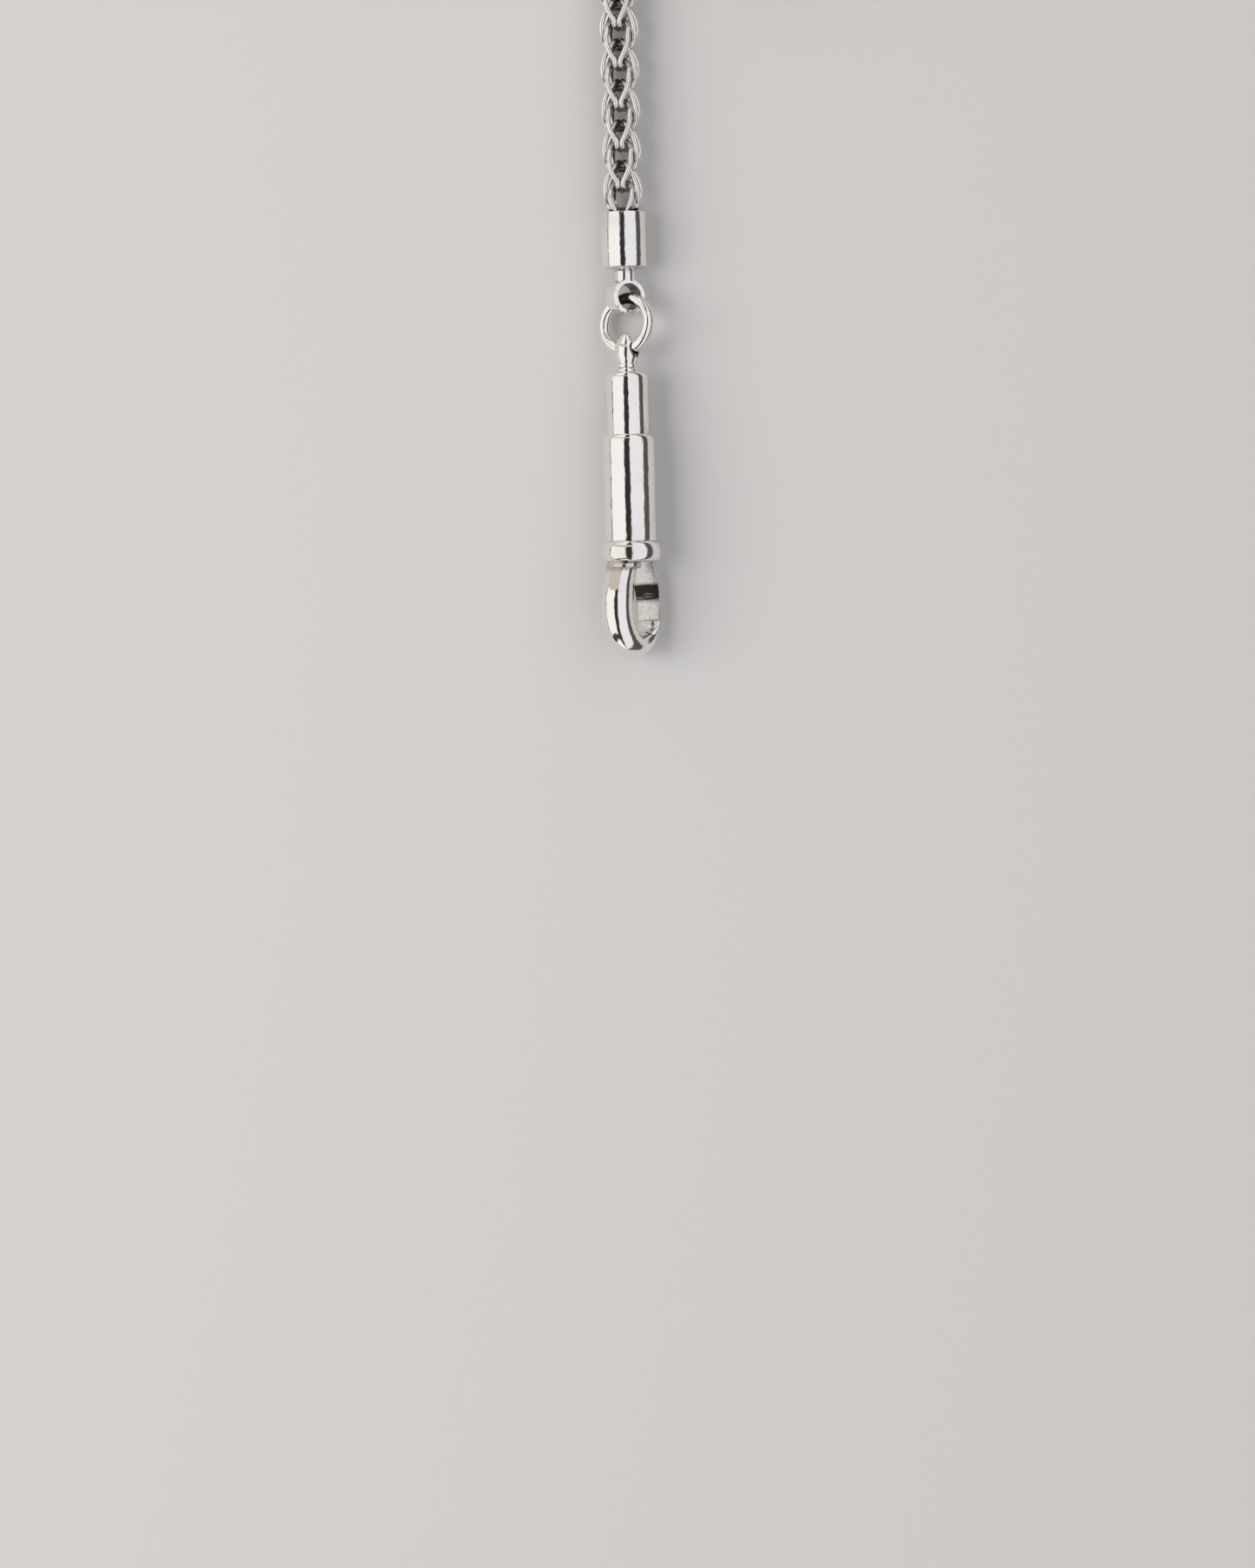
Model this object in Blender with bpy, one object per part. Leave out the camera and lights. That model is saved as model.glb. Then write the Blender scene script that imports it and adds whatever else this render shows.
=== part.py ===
"""Pocket watch chain: a four-sided woven chain with a sliding-sleeve swivel clasp and a T-bar.

Metres, +Z up. The chain lies along Y on the plane z = 0, clasp towards -Y. Places along the
chain are measured from the lower face of the grip collar, towards the chain, and the origin
is under the middle of the clasp and the straight run of links.
"""
import math

import bmesh
import bpy
from mathutils import Matrix, Vector

MM = 0.001

# Wire links
WIRE_RADIUS = 0.21 * MM
LINK_PITCH = 3.34 * MM
LINK_COUNT = 14
LINK_PLAY = 0.20 * MM
WIRE_GAP = 0.07 * MM
EAR_HALF_WIDTH = 0.90 * MM
EAR_WIDEST_AT = 2.35 * MM
EAR_ROUNDNESS = 2.5
EAR_FALL = 1.15 * MM
FOLD_FALL = 0.45 * MM
EAR_BULGE_AT = 1.35 * MM
FOLD_BEND = 0.50 * MM
CHAIN_RADIUS = 1.565 * MM
CHAIN_ROLL = math.radians(-10)
FIRST_PINCH = 0.72
PINCH_LENGTH = 1.20 * MM
LEG_STEPS = 4
NOSE_STEPS = 3

# End caps that hold the chain's ends
CUP_RADIUS = 1.90 * MM
CUP_LENGTH = 4.54 * MM
CUP_DEPTH = 3.30 * MM
CUP_GAP = 0.055 * MM
FOLD_IN_CUP = 1.47 * MM
NECK_RADIUS = 0.85 * MM
NECK_FLARE = 0.30 * MM
NECK_LENGTH = 0.95 * MM
EYE_RADIUS = 1.48 * MM
EYE_HOLE_RADIUS = 1.05 * MM
EYE_THICKNESS = 1.50 * MM
EYE_EDGE = 0.13 * MM
EYE_ROLL = math.radians(30)

# Jump rings
RING_RADIUS = 2.16 * MM
RING_WIRE_RADIUS = 0.485 * MM
RING_TILT = math.radians(33)
RING_SWING = math.radians(25)

# Swivel head
HEAD_RADIUS = 1.00 * MM
HEAD_HEIGHT = 2.60 * MM
HEAD_HOLE_AT = 1.14 * MM
HEAD_ROLL = math.radians(33)
BEAD_RADIUS = 0.86 * MM
BEAD_LENGTH = 0.37 * MM
STEM_RADIUS = 0.55 * MM
RIVET_RADIUS = 1.00 * MM
RIVET_LENGTH = 0.55 * MM
HOLE_GAP = 0.08 * MM

# Clasp barrel, sleeve and grip collar
BARREL_RADIUS = 1.80 * MM
BARREL_WALL = 0.45 * MM
BARREL_SHOWS = 5.20 * MM
BARREL_SHOULDER = 0.60 * MM
BARREL_TOP = 0.85 * MM
LIP_WIDTH = 0.40 * MM
LIP_HEIGHT = 0.18 * MM
GUIDE_LENGTH = 1.55 * MM
SLEEVE_RADIUS = 2.20 * MM
SLEEVE_LENGTH = 8.82 * MM
SLEEVE_TRAVEL = 4.50 * MM
COLLAR_RADIUS = 2.53 * MM
COLLAR_LENGTH = 1.70 * MM
SPIGOT_LENGTH = 0.50 * MM
RUN_GAP = 0.03 * MM
SEAT_GAP = 0.03 * MM
TURN_GAP = 0.10 * MM

# Hook, gate and gate spring
SHANK_RADIUS = 0.75 * MM
PLUG_LENGTH = 4.00 * MM
FLANGE_RADIUS = 1.55 * MM
FLANGE_DEPTH = 1.38 * MM
FLANGE_OFFSET = 1.00 * MM
FLANGE_LENGTH = 0.50 * MM
HOOK_ROLL = math.radians(48)
HOOK_REACH = 6.85 * MM
HOOK_SWELL = 1.84 * MM
HOOK_ROOT = 1.15 * MM
HOOK_ROOT_RADIUS = 1.20 * MM
HOOK_RADIUS = 1.34 * MM
HOOK_BEND_RADIUS = 0.98 * MM
TIP_GAP = 0.10 * MM
GATE_IN = 1.60 * MM
GATE_LENGTH = 4.75 * MM
GATE_ROOT_DEPTH = 1.00 * MM
GATE_ROOT_WIDTH = 1.73 * MM
GATE_ROOT_THICKNESS = 0.34 * MM
GATE_WIDTH = 2.46 * MM
GATE_THICKNESS = 0.78 * MM
GATE_FLARE = 1.80 * MM
GATE_BEND = 0.30 * MM
SPRING_WIRE_RADIUS = 0.14 * MM
SPRING_TURNS = 6

# T-bar on the far end
BAR_LENGTH = 20.0 * MM
BAR_RADIUS = 0.75 * MM
BALL_RADIUS = 1.20 * MM
BOSS_RADIUS = 1.00 * MM
LOOP_HOLE_RADIUS = 0.92 * MM
LOOP_WIRE_RADIUS = 0.30 * MM

# Coil that the rest of the chain lies in, flat beside the run
COIL_RADIUS = 13.0 * MM
COIL_STRAIGHT = 34.0 * MM
COIL_STEP = 4.0 * MM
COIL_TURNS = 1.45
TAIL_TURN = math.radians(8)
COIL_LEAD = 24.5 * MM
LOOP_POINTS = 24
TUBE_GAP = 0.30 * MM
TAIL_IN_CUP = 2.50 * MM

TURN_SEGMENTS = 24
WELD = 1e-8
METALS = {}


def metal(name, colour, roughness):
    """A polished metal, made once for each name."""
    if name not in METALS:
        material = bpy.data.materials.new(name)
        material.use_nodes = True
        shader = material.node_tree.nodes["Principled BSDF"]
        shader.inputs["Base Color"].default_value = (*colour, 1.0)
        shader.inputs["Metallic"].default_value = 1.0
        shader.inputs["Roughness"].default_value = roughness
        METALS[name] = material
    return METALS[name]


def silver():
    return metal("polished_silver", (0.86, 0.84, 0.81), 0.12)


def chain_silver():
    return metal("chain_silver", (0.83, 0.80, 0.76), 0.20)


def spring_steel():
    return metal("spring_steel", (0.55, 0.55, 0.56), 0.30)


def place(name, location, turns=()):
    """An empty on an axis of the chain; turns are (angle, axis letter), the first made first."""
    empty = bpy.data.objects.new(name, None)
    bpy.context.collection.objects.link(empty)
    matrix = Matrix.Identity(4)
    for angle, letter in turns:
        matrix = Matrix.Rotation(angle, 4, letter) @ matrix
    empty.matrix_world = Matrix.Translation(location) @ matrix
    bpy.context.view_layer.update()
    return empty


def add(name, bm, material, parent, local=None):
    """An object from a bmesh, shaded smooth, under the empty that carries it."""
    bmesh.ops.recalc_face_normals(bm, faces=bm.faces)
    mesh = bpy.data.meshes.new(name)
    bm.to_mesh(mesh)
    bm.free()
    mesh.shade_smooth()
    mesh.set_sharp_from_angle(angle=math.radians(35))
    mesh.materials.append(material)
    part = bpy.data.objects.new(name, mesh)
    bpy.context.collection.objects.link(part)
    part.parent = parent
    if local is not None:
        part.matrix_local = local
    return part


def combine(part, tool, operation):
    """Cut the tool from the part, or join it to the part, and hide the tool."""
    modifier = part.modifiers.new(tool.name, "BOOLEAN")
    modifier.operation = operation
    modifier.object = tool
    tool.hide_render = True
    tool.display_type = "WIRE"


def turned(profile, closed, segments=TURN_SEGMENTS):
    """A solid turned about Y from (along, radius) points; an open profile ends on the axis."""
    bm = bmesh.new()
    start = Matrix.Rotation(math.pi / segments, 3, "Y")
    points = [bm.verts.new(start @ Vector((0.0, along, radius))) for along, radius in profile]
    pairs = list(zip(points, points[1:]))
    if closed:
        pairs.append((points[-1], points[0]))
    edges = [bm.edges.new(pair) for pair in pairs]
    bmesh.ops.spin(bm, geom=points + edges, cent=(0, 0, 0), axis=(0, 1, 0),
                   angle=2 * math.pi, steps=segments, use_merge=True)
    bmesh.ops.remove_doubles(bm, verts=bm.verts, dist=WELD)
    return bm


def lofted(sections):
    """A closed solid through rings of points, with flat ends."""
    bm = bmesh.new()
    rings = [[bm.verts.new(point) for point in section] for section in sections]
    for low, high in zip(rings, rings[1:]):
        for i, point in enumerate(low):
            j = (i + 1) % len(low)
            bm.faces.new((point, low[j], high[j], high[i]))
    bm.faces.new(rings[0])
    bm.faces.new(rings[-1])
    return bm


def box(low, high):
    bm = bmesh.new()
    bmesh.ops.create_cube(bm, size=1.0)
    size = [b - a for a, b in zip(low, high)]
    middle = [(a + b) / 2 for a, b in zip(low, high)]
    bmesh.ops.scale(bm, vec=size, verts=bm.verts)
    bmesh.ops.translate(bm, vec=middle, verts=bm.verts)
    return bm


def wire(name, points, radius, material, parent, cyclic, sides=6):
    """A round wire through the points, with filled ends where it is open."""
    curve = bpy.data.curves.new(name, "CURVE")
    curve.dimensions = "3D"
    curve.bevel_depth = radius
    curve.bevel_resolution = sides // 2 - 2
    curve.use_fill_caps = not cyclic
    spline = curve.splines.new("POLY")
    spline.points.add(len(points) - 1)
    for spot, point in zip(spline.points, points):
        spot.co = (*point, 1.0)
    spline.use_cyclic_u = cyclic
    spline.use_smooth = True
    curve.materials.append(material)
    part = bpy.data.objects.new(name, curve)
    bpy.context.collection.objects.link(part)
    part.parent = parent
    return part


def smooth_line(points, steps):
    """Points on a smooth curve through the given ones, so many steps between each two."""
    line = []
    last = len(points) - 1
    for i in range(last):
        before, here = points[max(i - 1, 0)], points[i]
        there, after = points[i + 1], points[min(i + 2, last)]
        for k in range(steps):
            t = k / steps
            line.append(0.5 * (2 * here + (there - before) * t
                               + (2 * before - 5 * here + 4 * there - after) * t * t
                               + (3 * here - before - 3 * there + after) * t ** 3))
    line.append(points[-1])
    return line


# Stations along the chain, from the collar's lower face
SLEEVE_FOOT = COLLAR_LENGTH
SLEEVE_HEAD = SLEEVE_FOOT + SLEEVE_LENGTH
BARREL_FOOT = SLEEVE_HEAD - GUIDE_LENGTH
BARREL_HEAD = SLEEVE_HEAD + BARREL_SHOWS
LIP_HEAD = BARREL_HEAD + LIP_HEIGHT
HEAD_FOOT = LIP_HEAD + TURN_GAP + BEAD_LENGTH
HEAD_HOLE = HEAD_FOOT + HEAD_HOLE_AT
HEAD_APEX = HEAD_FOOT + HEAD_HEIGHT
EYE_CENTRE = HEAD_HOLE + 2 * RING_RADIUS + 0.07 * MM
CUP_FOOT = EYE_CENTRE + EYE_RADIUS + NECK_LENGTH
CUP_MOUTH = CUP_FOOT + CUP_LENGTH
FIRST_FOLD = CUP_MOUTH - FOLD_IN_CUP
EAR_END = LINK_PITCH + 2 * WIRE_RADIUS + LINK_PLAY
LAST_FOLD = FIRST_FOLD + (LINK_COUNT - 1) * LINK_PITCH / 2
RUN_END = LAST_FOLD + EAR_END + WIRE_RADIUS
COIL_START = RUN_END + TUBE_GAP
HOOK_LOWEST = -HOOK_REACH - HOOK_BEND_RADIUS
MIDDLE = (HOOK_LOWEST + RUN_END) / 2

# Heights of the axes over the plane that the chain lies on
CLASP_HEIGHT = COLLAR_RADIUS + 0.02 * MM
CUP_HEIGHT = CUP_RADIUS * math.cos(math.pi / TURN_SEGMENTS)
CHAIN_HEIGHT = CHAIN_RADIUS + 0.02 * MM
RUN_SLOPE = math.atan2(CUP_HEIGHT - CHAIN_HEIGHT, COIL_START - FIRST_FOLD)


def along(station, height, aside=0.0):
    """The point of the chain at a station, at a height over the plane."""
    return Vector((aside, station - MIDDLE, height))


def link_line(pinch=1.0):
    """The closed line of one link: a fold at the origin and two ears towards +Y, at +Z and -Z.

    The link in the end cap is pinched together up to the cap's mouth.
    """
    fold = WIRE_RADIUS + WIRE_GAP / 2
    crest = CHAIN_RADIUS - WIRE_RADIUS
    nose_length = EAR_END - EAR_WIDEST_AT

    def height(y):
        if y < EAR_BULGE_AT:
            return crest - FOLD_FALL * (1 - y / EAR_BULGE_AT) ** 2
        return crest - EAR_FALL * ((y - EAR_BULGE_AT) / (EAR_END - EAR_BULGE_AT)) ** 2

    half_span = height(FOLD_BEND) - FOLD_BEND
    turn = math.sqrt(0.5)
    quarter = [
        (fold, 0.0, half_span),
        (fold, FOLD_BEND * (1 - turn), half_span + FOLD_BEND * turn),
    ]
    for i in range(LEG_STEPS + 1):
        share = i / LEG_STEPS
        y = FOLD_BEND + share * (EAR_WIDEST_AT - FOLD_BEND)
        x = fold + (EAR_HALF_WIDTH - fold) * math.sin(share * math.pi / 2)
        quarter.append((x, y, height(y)))
    for i in range(1, NOSE_STEPS):
        share = math.sin(i / NOSE_STEPS * math.pi / 2)
        y = EAR_WIDEST_AT + nose_length * share
        x = EAR_HALF_WIDTH * (1 - share ** EAR_ROUNDNESS) ** (1 / EAR_ROUNDNESS)
        quarter.append((x, y, height(y)))
    nose = (0.0, EAR_END, height(EAR_END))

    def mirrored(points, side, face):
        line = []
        for x, y, z in points:
            share = min(max((y - FOLD_IN_CUP) / PINCH_LENGTH, 0), 1)
            narrow = pinch + (1 - pinch) * share * share * (3 - 2 * share)
            line.append(Vector((side * max(x * narrow, min(x, fold)), y, face * z * narrow)))
        return line

    ear = mirrored(quarter + [nose], 1, 1) + mirrored(quarter[::-1], -1, 1)
    other_ear = mirrored(quarter + [nose], -1, -1) + mirrored(quarter[::-1], 1, -1)
    return ear + other_ear


def make_links(run):
    """The straight run of links, each a quarter turn round from the last."""
    for number in range(LINK_COUNT):
        line = link_line(FIRST_PINCH if number == 0 else 1.0)
        fold_place = place(f"fold_{number + 1:02d}", (0, 0, 0))
        fold_place.parent = run
        fold_place.location = (0, number * LINK_PITCH / 2, 0)
        fold_place.rotation_euler = (0, math.pi / 2 * (number % 2), 0)
        wire(f"link_{number + 1:02d}", line, WIRE_RADIUS, chain_silver(), fold_place, True)


def make_end_cap(name, carrier):
    """A turned cup for the chain's end, with a drilled eye; the eye's centre is the origin."""
    mouth = CUP_MOUTH - EYE_CENTRE
    foot = CUP_FOOT - EYE_CENTRE
    bore = CHAIN_RADIUS + CUP_GAP
    edge = EYE_EDGE
    stub = EYE_HOLE_RADIUS + (EYE_RADIUS - EYE_HOLE_RADIUS) / 2
    cup = add(name, turned([
        (stub, 0),
        (stub, NECK_RADIUS),
        (foot - NECK_LENGTH / 2, NECK_RADIUS),
        (foot, NECK_RADIUS + NECK_FLARE),
        (foot, CUP_RADIUS - edge),
        (foot + edge, CUP_RADIUS),
        (mouth - edge, CUP_RADIUS),
        (mouth, CUP_RADIUS - edge),
        (mouth, bore),
        (mouth - CUP_DEPTH, bore),
        (mouth - CUP_DEPTH, 0),
    ], closed=False), silver(), carrier)
    half = EYE_THICKNESS / 2
    eye = add(f"{name}_eye", turned([
        (-half + edge, EYE_HOLE_RADIUS),
        (-half, EYE_HOLE_RADIUS + edge / 2),
        (-half, EYE_RADIUS - edge),
        (-half / 2, EYE_RADIUS - edge / 4),
        (0, EYE_RADIUS),
        (half / 2, EYE_RADIUS - edge / 4),
        (half, EYE_RADIUS - edge),
        (half, EYE_HOLE_RADIUS + edge / 2),
        (half - edge, EYE_HOLE_RADIUS),
    ], closed=True), silver(), carrier, Matrix.Rotation(math.pi / 2, 4, "X"))
    combine(cup, eye, "UNION")


def make_ring(name, carrier):
    """A round wire ring in the carrier's XY plane."""
    section = []
    sides = 8
    for i in range(sides):
        angle = 2 * math.pi * i / sides
        section.append((RING_WIRE_RADIUS * math.sin(angle),
                        RING_RADIUS + RING_WIRE_RADIUS * math.cos(angle)))
    add(name, turned(section, closed=True), silver(), carrier,
        Matrix.Rotation(math.pi / 2, 4, "X"))


def ring_way():
    """Rings round the way of the ring through the swivel head, bent and flared as it swings."""
    reach = 1.4 * HEAD_RADIUS
    close = RING_WIRE_RADIUS + HOLE_GAP
    sections = []
    for i in range(-4, 5):
        spot = reach * i / 4
        sag = RING_RADIUS - math.sqrt(RING_RADIUS ** 2 - spot ** 2)
        lift = 0.85 * sag
        tall = close + 0.3 * sag
        wide = close + sag * math.sin(RING_SWING)
        angles = [2 * math.pi * k / TURN_SEGMENTS for k in range(TURN_SEGMENTS)]
        sections.append([Vector((spot, lift + tall * math.cos(a), wide * math.sin(a)))
                         for a in angles])
    return sections


def make_swivel(carrier):
    """The acorn-shaped head, its stem through the barrel's top and the riveted end inside."""
    rivet = BARREL_HEAD - BARREL_TOP - TURN_GAP
    bead = LIP_HEAD + TURN_GAP
    waist = (HEAD_RADIUS + STEM_RADIUS) / 2
    swivel = add("swivel", turned([
        (HEAD_APEX, 0),
        (HEAD_APEX - 0.06 * HEAD_HEIGHT, 0.33 * HEAD_RADIUS),
        (HEAD_APEX - 0.19 * HEAD_HEIGHT, 0.62 * HEAD_RADIUS),
        (HEAD_APEX - 0.38 * HEAD_HEIGHT, 0.88 * HEAD_RADIUS),
        (HEAD_APEX - 0.60 * HEAD_HEIGHT, HEAD_RADIUS),
        (HEAD_APEX - 0.80 * HEAD_HEIGHT, 0.96 * HEAD_RADIUS),
        (HEAD_APEX - 0.94 * HEAD_HEIGHT, 0.84 * HEAD_RADIUS),
        (HEAD_FOOT, waist),
        (HEAD_FOOT - 0.25 * BEAD_LENGTH, BEAD_RADIUS),
        (HEAD_FOOT - 0.75 * BEAD_LENGTH, BEAD_RADIUS),
        (bead, waist),
        (bead, STEM_RADIUS),
        (rivet, STEM_RADIUS),
        (rivet, RIVET_RADIUS),
        (rivet - RIVET_LENGTH, RIVET_RADIUS),
        (rivet - RIVET_LENGTH, 0),
    ], closed=False), silver(), carrier)
    drill = add("swivel_hole", lofted(ring_way()), silver(), carrier,
                Matrix.Translation((0, HEAD_HOLE, 0)))
    combine(swivel, drill, "DIFFERENCE")


def shoulder(head, radius, size, steps=3):
    """A quarter round from an outside radius in to a top face."""
    points = []
    for i in range(steps + 1):
        angle = i / steps * math.pi / 2
        points.append((head - size + size * math.sin(angle),
                       radius - size + size * math.cos(angle)))
    return points


def make_barrel(carrier):
    """The narrow upper barrel, with a lipped hole for the swivel's stem."""
    bore = BARREL_RADIUS - BARREL_WALL
    hole = STEM_RADIUS + HOLE_GAP
    add("barrel", turned([
        (BARREL_FOOT, bore),
        (BARREL_FOOT, BARREL_RADIUS),
        *shoulder(BARREL_HEAD, BARREL_RADIUS, BARREL_SHOULDER),
        (BARREL_HEAD, hole + LIP_WIDTH),
        (LIP_HEAD, hole + LIP_WIDTH),
        (LIP_HEAD, hole),
        (BARREL_HEAD - BARREL_TOP, hole),
        (BARREL_HEAD - BARREL_TOP, bore),
    ], closed=True), silver(), carrier)


def make_sleeve(carrier):
    """The sliding sleeve, and the grip collar that closes its foot round the shank."""
    bore = BARREL_RADIUS + RUN_GAP
    rounding = SLEEVE_RADIUS - bore - 0.02 * MM
    add("sleeve", turned([
        (SLEEVE_FOOT + SEAT_GAP, bore),
        (SLEEVE_FOOT + SEAT_GAP, SLEEVE_RADIUS),
        *shoulder(SLEEVE_HEAD, SLEEVE_RADIUS, rounding),
        (SLEEVE_HEAD, bore),
    ], closed=True), silver(), carrier)
    hole = SHANK_RADIUS + HOLE_GAP
    spigot = bore - SEAT_GAP
    collar = add("grip_collar", turned([
        (0, hole),
        (0, COLLAR_RADIUS - 0.45 * MM),
        (0.08 * COLLAR_LENGTH, COLLAR_RADIUS - 0.20 * MM),
        (0.25 * COLLAR_LENGTH, COLLAR_RADIUS - 0.05 * MM),
        (0.48 * COLLAR_LENGTH, COLLAR_RADIUS),
        (0.72 * COLLAR_LENGTH, COLLAR_RADIUS - 0.05 * MM),
        (0.90 * COLLAR_LENGTH, COLLAR_RADIUS - 0.16 * MM),
        (COLLAR_LENGTH, SLEEVE_RADIUS),
        (COLLAR_LENGTH, spigot),
        (COLLAR_LENGTH + SPIGOT_LENGTH, spigot),
        (COLLAR_LENGTH + SPIGOT_LENGTH, hole),
    ], closed=True), silver(), carrier)
    side = GATE_ROOT_WIDTH / 2 + SEAT_GAP
    slot = add("gate_slot", box(
        (GATE_IN - SEAT_GAP, -0.2 * COLLAR_LENGTH, -side),
        (GATE_IN + GATE_ROOT_THICKNESS + SEAT_GAP, GATE_ROOT_DEPTH + SEAT_GAP, side),
    ), silver(), carrier)
    combine(collar, slot, "DIFFERENCE")


def make_gate(carrier):
    """The tongue that closes the hook: thin in the collar, flared and bent out to its foot."""
    stations = [
        (GATE_ROOT_DEPTH, GATE_ROOT_WIDTH, GATE_ROOT_THICKNESS),
        (0.0, GATE_ROOT_WIDTH, GATE_ROOT_THICKNESS),
        (-0.4 * GATE_FLARE, 0.6 * GATE_ROOT_WIDTH + 0.4 * GATE_WIDTH, 1.1 * GATE_ROOT_THICKNESS),
        (-GATE_FLARE, GATE_WIDTH, 0.85 * GATE_ROOT_THICKNESS + 0.15 * GATE_THICKNESS),
        (-(GATE_FLARE + GATE_LENGTH) / 2, GATE_WIDTH, (GATE_ROOT_THICKNESS + GATE_THICKNESS) / 2),
        (-GATE_LENGTH, GATE_WIDTH, GATE_THICKNESS),
    ]
    sections = []
    for spot, width, thickness in stations:
        crown = 0.8 * thickness
        side = width / 2
        inner = GATE_IN + (GATE_BEND if spot < -GATE_FLARE else 0.0)
        sections.append([
            Vector((inner, spot, -side)),
            Vector((inner, spot, side)),
            Vector((GATE_IN + crown, spot, side)),
            Vector((GATE_IN + thickness, spot, side / 2)),
            Vector((GATE_IN + thickness, spot, -side / 2)),
            Vector((GATE_IN + crown, spot, -side)),
        ])
    add("gate", lofted(sections), silver(), carrier)


def hook_sections():
    """Rings round the horn: (across, down, half width, half thickness) at each station."""
    tip = GATE_LENGTH + TIP_GAP
    tip_middle = GATE_IN + GATE_THICKNESS / 2
    stations = [
        (-HOOK_ROOT, 0.3 * FLANGE_LENGTH, 1.08 * HOOK_ROOT_RADIUS, 0.92 * HOOK_ROOT_RADIUS),
        (-0.84 * HOOK_SWELL, 0.22 * HOOK_REACH, 1.06 * HOOK_ROOT_RADIUS, HOOK_ROOT_RADIUS),
        (-0.98 * HOOK_SWELL, 0.41 * HOOK_REACH, HOOK_RADIUS, HOOK_RADIUS),
        (-HOOK_SWELL, 0.58 * HOOK_REACH, HOOK_RADIUS, HOOK_RADIUS),
        (-0.88 * HOOK_SWELL, 0.76 * HOOK_REACH, HOOK_RADIUS, HOOK_RADIUS),
        (-0.52 * HOOK_SWELL, 0.92 * HOOK_REACH, HOOK_RADIUS, 0.9 * HOOK_RADIUS),
        (0.05 * HOOK_SWELL, HOOK_REACH, HOOK_RADIUS, HOOK_BEND_RADIUS),
        (0.60 * HOOK_SWELL, 0.94 * HOOK_REACH, HOOK_RADIUS, 0.8 * HOOK_BEND_RADIUS),
        (0.92 * HOOK_SWELL, 0.82 * HOOK_REACH, GATE_WIDTH / 2, 0.55 * GATE_THICKNESS),
        (tip_middle, tip, GATE_WIDTH / 2, GATE_THICKNESS / 2),
    ]
    line = smooth_line([Vector(station[:2]) for station in stations], 2)
    sizes = smooth_line([Vector(station[2:]) for station in stations], 2)
    sides = 14
    sections = []
    for i, (spot, size) in enumerate(zip(line, sizes)):
        heading = line[min(i + 1, len(line) - 1)] - line[max(i - 1, 0)]
        if i == len(line) - 1 or i == 0:
            heading = Vector((0, 1 if i == 0 else -1))
        heading.normalize()
        outward = Vector((heading.y, -heading.x))
        ring = []
        for k in range(sides):
            angle = 2 * math.pi * (k + 0.5) / sides
            flat = spot + outward * size.y * math.cos(angle)
            ring.append(Vector((flat.x, -flat.y, size.x * math.sin(angle))))
        sections.append(ring)
    return sections


def make_hook(carrier):
    """Hook, its oval stop flange, shank and the plug that fills the barrel's bore, in one piece."""
    plug = BARREL_RADIUS - BARREL_WALL - SEAT_GAP
    shank_foot = -SEAT_GAP - 0.15 * FLANGE_LENGTH
    hook = add("hook", turned([
        (shank_foot, 0),
        (shank_foot, SHANK_RADIUS),
        (BARREL_FOOT + SEAT_GAP, SHANK_RADIUS),
        (BARREL_FOOT + SEAT_GAP, plug),
        (BARREL_FOOT + PLUG_LENGTH, plug),
        (BARREL_FOOT + PLUG_LENGTH, 0),
    ], closed=False), silver(), carrier)
    horn = add("hook_horn", lofted(hook_sections()), silver(), carrier)
    combine(hook, horn, "UNION")
    oval = Matrix.Diagonal((FLANGE_DEPTH / FLANGE_RADIUS, 1, 1, 1))
    flange = add("hook_flange", turned([
        (-FLANGE_LENGTH - SEAT_GAP, 0),
        (-FLANGE_LENGTH - SEAT_GAP, FLANGE_RADIUS - 0.12 * MM),
        (-0.7 * FLANGE_LENGTH, FLANGE_RADIUS),
        (-SEAT_GAP, FLANGE_RADIUS),
        (-SEAT_GAP, 0),
    ], closed=False), silver(), carrier, Matrix.Translation((-FLANGE_OFFSET, 0, 0)) @ oval)
    combine(hook, flange, "UNION")


def make_spring(carrier):
    """The spring that holds the sleeve down, between the collar's spigot and the barrel."""
    low = COLLAR_LENGTH + SPIGOT_LENGTH + SPRING_WIRE_RADIUS + SEAT_GAP
    high = BARREL_FOOT - SPRING_WIRE_RADIUS - SEAT_GAP
    radius = (SHANK_RADIUS + BARREL_RADIUS) / 2
    steps = 10 * SPRING_TURNS
    points = []
    for i in range(steps + 1):
        angle = 2 * math.pi * SPRING_TURNS * i / steps
        points.append(Vector((radius * math.cos(angle), low + (high - low) * i / steps,
                              radius * math.sin(angle))))
    wire("gate_spring", points, SPRING_WIRE_RADIUS, spring_steel(), carrier, False)


def coil_point(turns):
    """The chain's centre after so many turns of the flat coil, winding inwards."""
    radius = COIL_RADIUS - COIL_STEP * turns
    angle = math.pi - 2 * math.pi * turns
    lengthen = math.tanh(3 * math.sin(angle)) / math.tanh(3)
    middle = along(COIL_START + COIL_LEAD, CHAIN_HEIGHT, COIL_RADIUS)
    return middle + Vector((radius * math.cos(angle),
                            radius * math.sin(angle) + COIL_STRAIGHT / 2 * lengthen, 0))


def coil_line():
    """The route of the rest of the chain: up beside the coil, round it, and out into the tail."""
    start = along(COIL_START, CHAIN_HEIGHT)
    lead = [start + Vector((0, COIL_LEAD * share, 0)) for share in (0, 0.15, 0.3, 0.5, 0.7)]
    count = round(COIL_TURNS * LOOP_POINTS)
    wound = [coil_point(COIL_TURNS * i / count) for i in range(count + 1)]
    heading = tail_heading()
    rise = Vector((0, 0, CUP_HEIGHT - CHAIN_HEIGHT))
    straight = 2 * CHAIN_RADIUS
    tail = [wound[-1] + heading * straight * share + rise * share for share in (0.5, 1)]
    tail.append(tail[-1] + heading * TAIL_IN_CUP)
    return lead + wound + tail


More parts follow.
